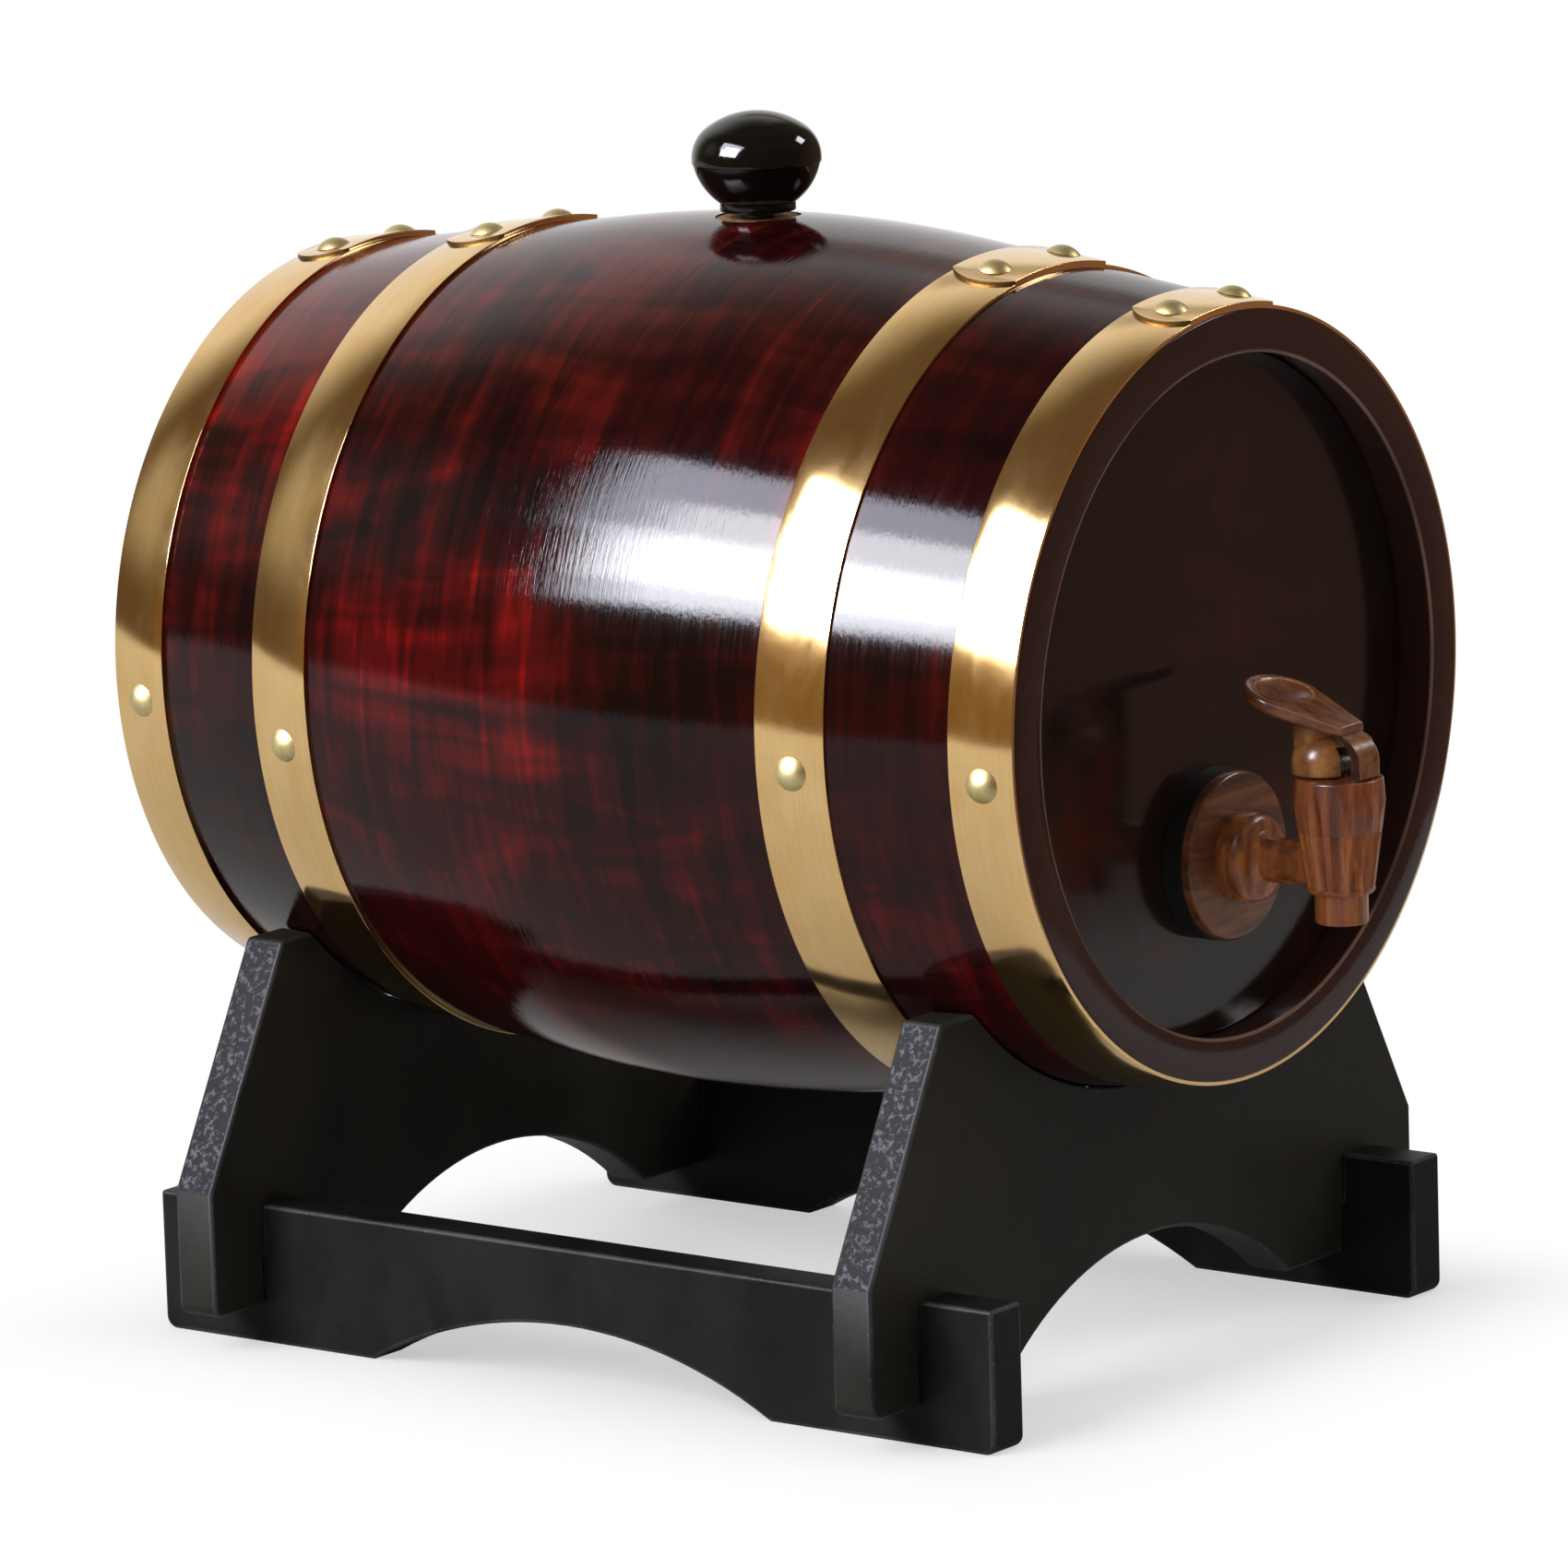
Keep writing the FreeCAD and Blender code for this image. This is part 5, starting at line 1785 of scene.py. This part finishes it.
@dataclass(frozen=True)
class SoftLamp:
    """A soft rectangular lamp, seen from the cask in a given direction."""

    name: str
    azimuth: float
    elevation: float
    wide: float
    high: float
    radiance: float
    tint: Triple = (1.0, 1.0, 1.0)
    glossy: bool = True
    diffuse: bool = True
    far: float = 4.0

    def direction(self) -> Vector:
        """Works out where the lamp stands.

        Returns:
            The direction to it, seen from the cask.
        """
        turn, rise = math.radians(self.azimuth), math.radians(self.elevation)
        level = math.cos(rise)
        return Vector((math.sin(turn) * level, -math.cos(turn) * level, math.sin(rise)))

    def light(self) -> None:
        """Puts the lamp up, turned towards the cask."""
        lamp = bpy.data.lights.new(self.name, "AREA")
        lamp.shape = "RECTANGLE"
        lamp.size = 2 * self.far * math.tan(math.radians(self.wide / 2))
        lamp.size_y = 2 * self.far * math.tan(math.radians(self.high / 2))
        lamp.energy = self.radiance * math.pi * lamp.size * lamp.size_y
        lamp.color = self.tint
        holder = bpy.data.objects.new(self.name, lamp)
        bpy.context.scene.collection.objects.link(holder)
        holder.location = CASK_CENTRE + self.direction() * self.far
        holder.rotation_euler = (-self.direction()).to_track_quat("-Z", "Y").to_euler()
        holder.visible_glossy = self.glossy
        holder.visible_diffuse = self.diffuse
        holder.visible_camera = False


@dataclass(frozen=True)
class Patch:
    """A soft patch of the surroundings, with where it starts and stops fading on either way."""

    azimuth: float
    elevation: float
    across: Point
    upward: Point

    def share(self, turn: Wire, rise: Wire) -> Wire:
        """How much of the patch is seen towards an azimuth and an elevation."""
        beside = abs(turn - self.azimuth).fade(*self.across, 1.0, 0.0)
        return beside * abs(rise - self.elevation).fade(*self.upward, 1.0, 0.0)


@dataclass
class Studio:
    """The pale floor, the soft light and the camera."""

    camera_place: Triple = (-1.891717, -1.417659, 0.580398)
    camera_aim: Triple = (0.78215806, 0.5941484, -0.18766048)
    camera_roll: float = -1.7529
    lens: float = 236.53
    film: float = 36
    lamps: tuple[SoftLamp, ...] = (
        SoftLamp("window", -110, 34, 36, 34, 6.0, glossy=False),
        SoftLamp("window_high", -108.5, 42, 37, 19, 20.0, (0.82, 0.85, 1.0), diffuse=False),
        SoftLamp("window_low", -108.5, 25, 31, 15, 30.0, (0.84, 0.87, 1.0), diffuse=False),
        SoftLamp("window_core", -108, 29, 31, 12, 24.0, (0.95, 0.96, 1.0), diffuse=False),
        SoftLamp("window_heart", -105, 31, 26, 24, 24.0, diffuse=False),
        SoftLamp("fill", 50, 35, 34, 34, 1.8, glossy=False),
        SoftLamp("fill_glint", 58, 35, 15, 12, 16.0, diffuse=False),
    )
    floor_left: float = -1.25
    floor_right: float = 0.55
    floor_front: float = -0.42
    floor_back: float = 3.5
    shadow_middle: Triple = (0, 0.02, 0)
    shadow_half: Triple = (0.09, 0.12, 0)
    shadow_fade: Fade = (-0.03, 0.06, 0.35, 1.0)
    floor_grain: Grain = Grain(6.0)
    floor_tone: Fade = (0.3, 0.7, 0.70, 0.74)
    floor_lift: float = 0.22
    floor_rough: float = 0.8
    ambient: float = 0.47
    backdrop_sides: tuple[Point, Point] = ((100, 114), (158, 192))
    backdrop_ends: tuple[Point, Point] = ((-16, -8), (36, 68))
    bar_side: Point = (130, 138)
    bar_height: float = 32.0
    bar_fade: Fade = (2, 8, 0.5, 0.0)
    door: Patch = Patch(208.0, 23.0, (5, 20), (4, 18))
    door_share: float = 0.42
    corner: Patch = Patch(52.0, -8.0, (8, 40), (10, 40))
    corner_tone: Colour = (0.25, 0.14, 0.10, 1.0)
    sill: Patch = Patch(248.0, 4.0, (12, 28), (9, 14))
    sill_tone: Colour = (0.24, 0.15, 0.05, 1.0)
    room: tuple[Stop, ...] = (
        (0.0, (0.14, 0.10, 0.06, 1)),
        (0.3, (0.36, 0.33, 0.27, 1)),
        (0.65, (0.66, 0.64, 0.60, 1)),
        (1.0, WHITE),
    )

    def build_camera(self) -> None:
        """Sets the camera at the photograph's place and angle."""
        holder = bpy.data.objects.new("camera", bpy.data.cameras.new("camera"))
        bpy.context.scene.collection.objects.link(holder)
        holder.data.lens = self.lens
        holder.data.sensor_width = self.film
        aim = Vector(self.camera_aim).normalized()
        right = aim.cross(UP).normalized()
        roll = math.radians(self.camera_roll)
        up = math.cos(roll) * right.cross(aim) - math.sin(roll) * right
        turn = Matrix((aim.cross(up), up, -aim)).transposed()
        holder.matrix_world = Matrix.Translation(Vector(self.camera_place)) @ turn.to_4x4()
        bpy.context.scene.camera = holder

    def paint_floor(self, paint: Paint) -> None:
        """Fills the floor's tree: a matt grey that the camera sees turn white away from the cask.

        Args:
            paint: The tree.
        """
        spot = paint.place(self.shadow_middle)
        beyond = paint.vector("SUBTRACT", paint.vector("ABSOLUTE", spot), self.shadow_half)
        beyond = paint.vector("MAXIMUM", beyond, (0, 0, 0))
        away = paint.vector("LENGTH", beyond, out="Value")
        seen = paint.node("ShaderNodeLightPath", {}, {}, "Is Camera Ray")
        tone = paint.noise(spot, self.floor_grain)
        level = tone.fade(*self.floor_tone) + seen * self.floor_lift
        shade = paint.ramp(level, (0.0, (0, 0, 0, 1)), (1.0, WHITE))
        matt = {"Base Color": shade, "Roughness": self.floor_rough, "Specular IOR Level": 0.0}
        board = paint.node("ShaderNodeBsdfPrincipled", {}, matt)
        white = paint.node("ShaderNodeEmission", {}, {"Color": WHITE, "Strength": 1.0})
        share = seen * away.fade(*self.shadow_fade)
        mixed = paint.node("ShaderNodeMixShader", {}, {0: share, 1: board, 2: white})
        paint.node("ShaderNodeOutputMaterial", {}, {"Surface": mixed})

    def build_floor(self) -> None:
        """Lays the pale floor, which fades into the white background away from the cask."""
        wide = self.floor_right - self.floor_left
        deep = self.floor_back - self.floor_front
        middle = (self.floor_left + self.floor_right) / 2, (self.floor_front + self.floor_back) / 2
        Bench.clear()
        bpy.ops.mesh.primitive_plane_add(size=1, location=(*middle, 0))
        bpy.context.active_object.scale = (wide, deep, 1)
        floor = Bench.settle("floor")
        made = bpy.data.materials.new("pale_floor")
        made.use_nodes = True
        self.paint_floor(Paint(made.node_tree))
        floor.data.materials.append(made)

    def build_world(self) -> None:
        """Surrounds the scene with white for the camera, an even light, and a room in the gloss.

        The room has a bright backdrop with a dark bar before it, a door, a corner and a sill.
        """
        world = bpy.data.worlds.new("studio")
        bpy.context.scene.world = world
        world.use_nodes = True
        paint = Paint(world.node_tree)
        way = paint.node("ShaderNodeTexCoord", {}, {}, "Generated")
        x = paint.node("ShaderNodeSeparateXYZ", {}, {0: way}, "X")
        y, z = x.part("Y"), x.part("Z")
        rise = paint.maths("ARCSINE", z) * (180 / math.pi)
        turn = paint.maths("ARCTAN2", x, y * -1.0) * (180 / math.pi)
        turn = paint.maths("WRAP", turn, 360.0, 0.0)
        (left, right), (low, high) = self.backdrop_sides, self.backdrop_ends
        backdrop = turn.fade(*left) * turn.fade(*right, 1.0, 0.0)
        backdrop = backdrop * rise.fade(*high, 1.0, 0.0) * rise.fade(*low)
        bar = turn.fade(*self.bar_side, 1.0, 0.0) * abs(rise - self.bar_height).fade(*self.bar_fade)
        gloss = backdrop * (1.0 - bar) + self.door.share(turn, rise) * self.door_share
        room = paint.ramp(gloss, *self.room)
        room = paint.blend(self.corner.share(turn, rise), room, self.corner_tone)
        room = paint.blend(self.sill.share(turn, rise), room, self.sill_tone)
        path = paint.node("ShaderNodeLightPath", {}, {}, "Is Camera Ray")
        even = (self.ambient, self.ambient, self.ambient, 1)
        soft = paint.blend(path.part("Is Glossy Ray"), even, room)
        seen = paint.blend(path, soft, WHITE)
        light = paint.node("ShaderNodeBackground", {}, {"Color": seen, "Strength": 1.0})
        paint.node("ShaderNodeOutputWorld", {}, {"Surface": light})

    def build(self) -> None:
        """Builds the camera, the floor, the surroundings and the lamps."""
        bpy.context.scene.view_settings.view_transform = "Standard"
        self.build_camera()
        self.build_floor()
        self.build_world()
        for lamp in self.lamps:
            lamp.light()


def main() -> None:
    """Builds the studio and every sub-assembly in order, and reports each piece."""
    logging.basicConfig(level=logging.INFO, format="%(name)s: %(message)s")
    Studio().build()
    cask = Cask()
    hoops = [
        Hoop("front_end", -1, 0.1296, 0.0161, 94, cask),
        Hoop("front_quarter", -1, 0.0825, 0.0175, 94, cask),
        Hoop("rear_quarter", 1, 0.0825, 0.0175, 98, cask),
        Hoop("rear_end", 1, 0.1296, 0.0161, 95, cask),
    ]
    for assembly in (cask, *hoops, Bung(cask), Tap(), Cradle()):
        for piece in assembly.build():
            LOG.info("%s: %d faces", piece.name, len(piece.data.polygons))


if __name__ == "__main__":
    main()
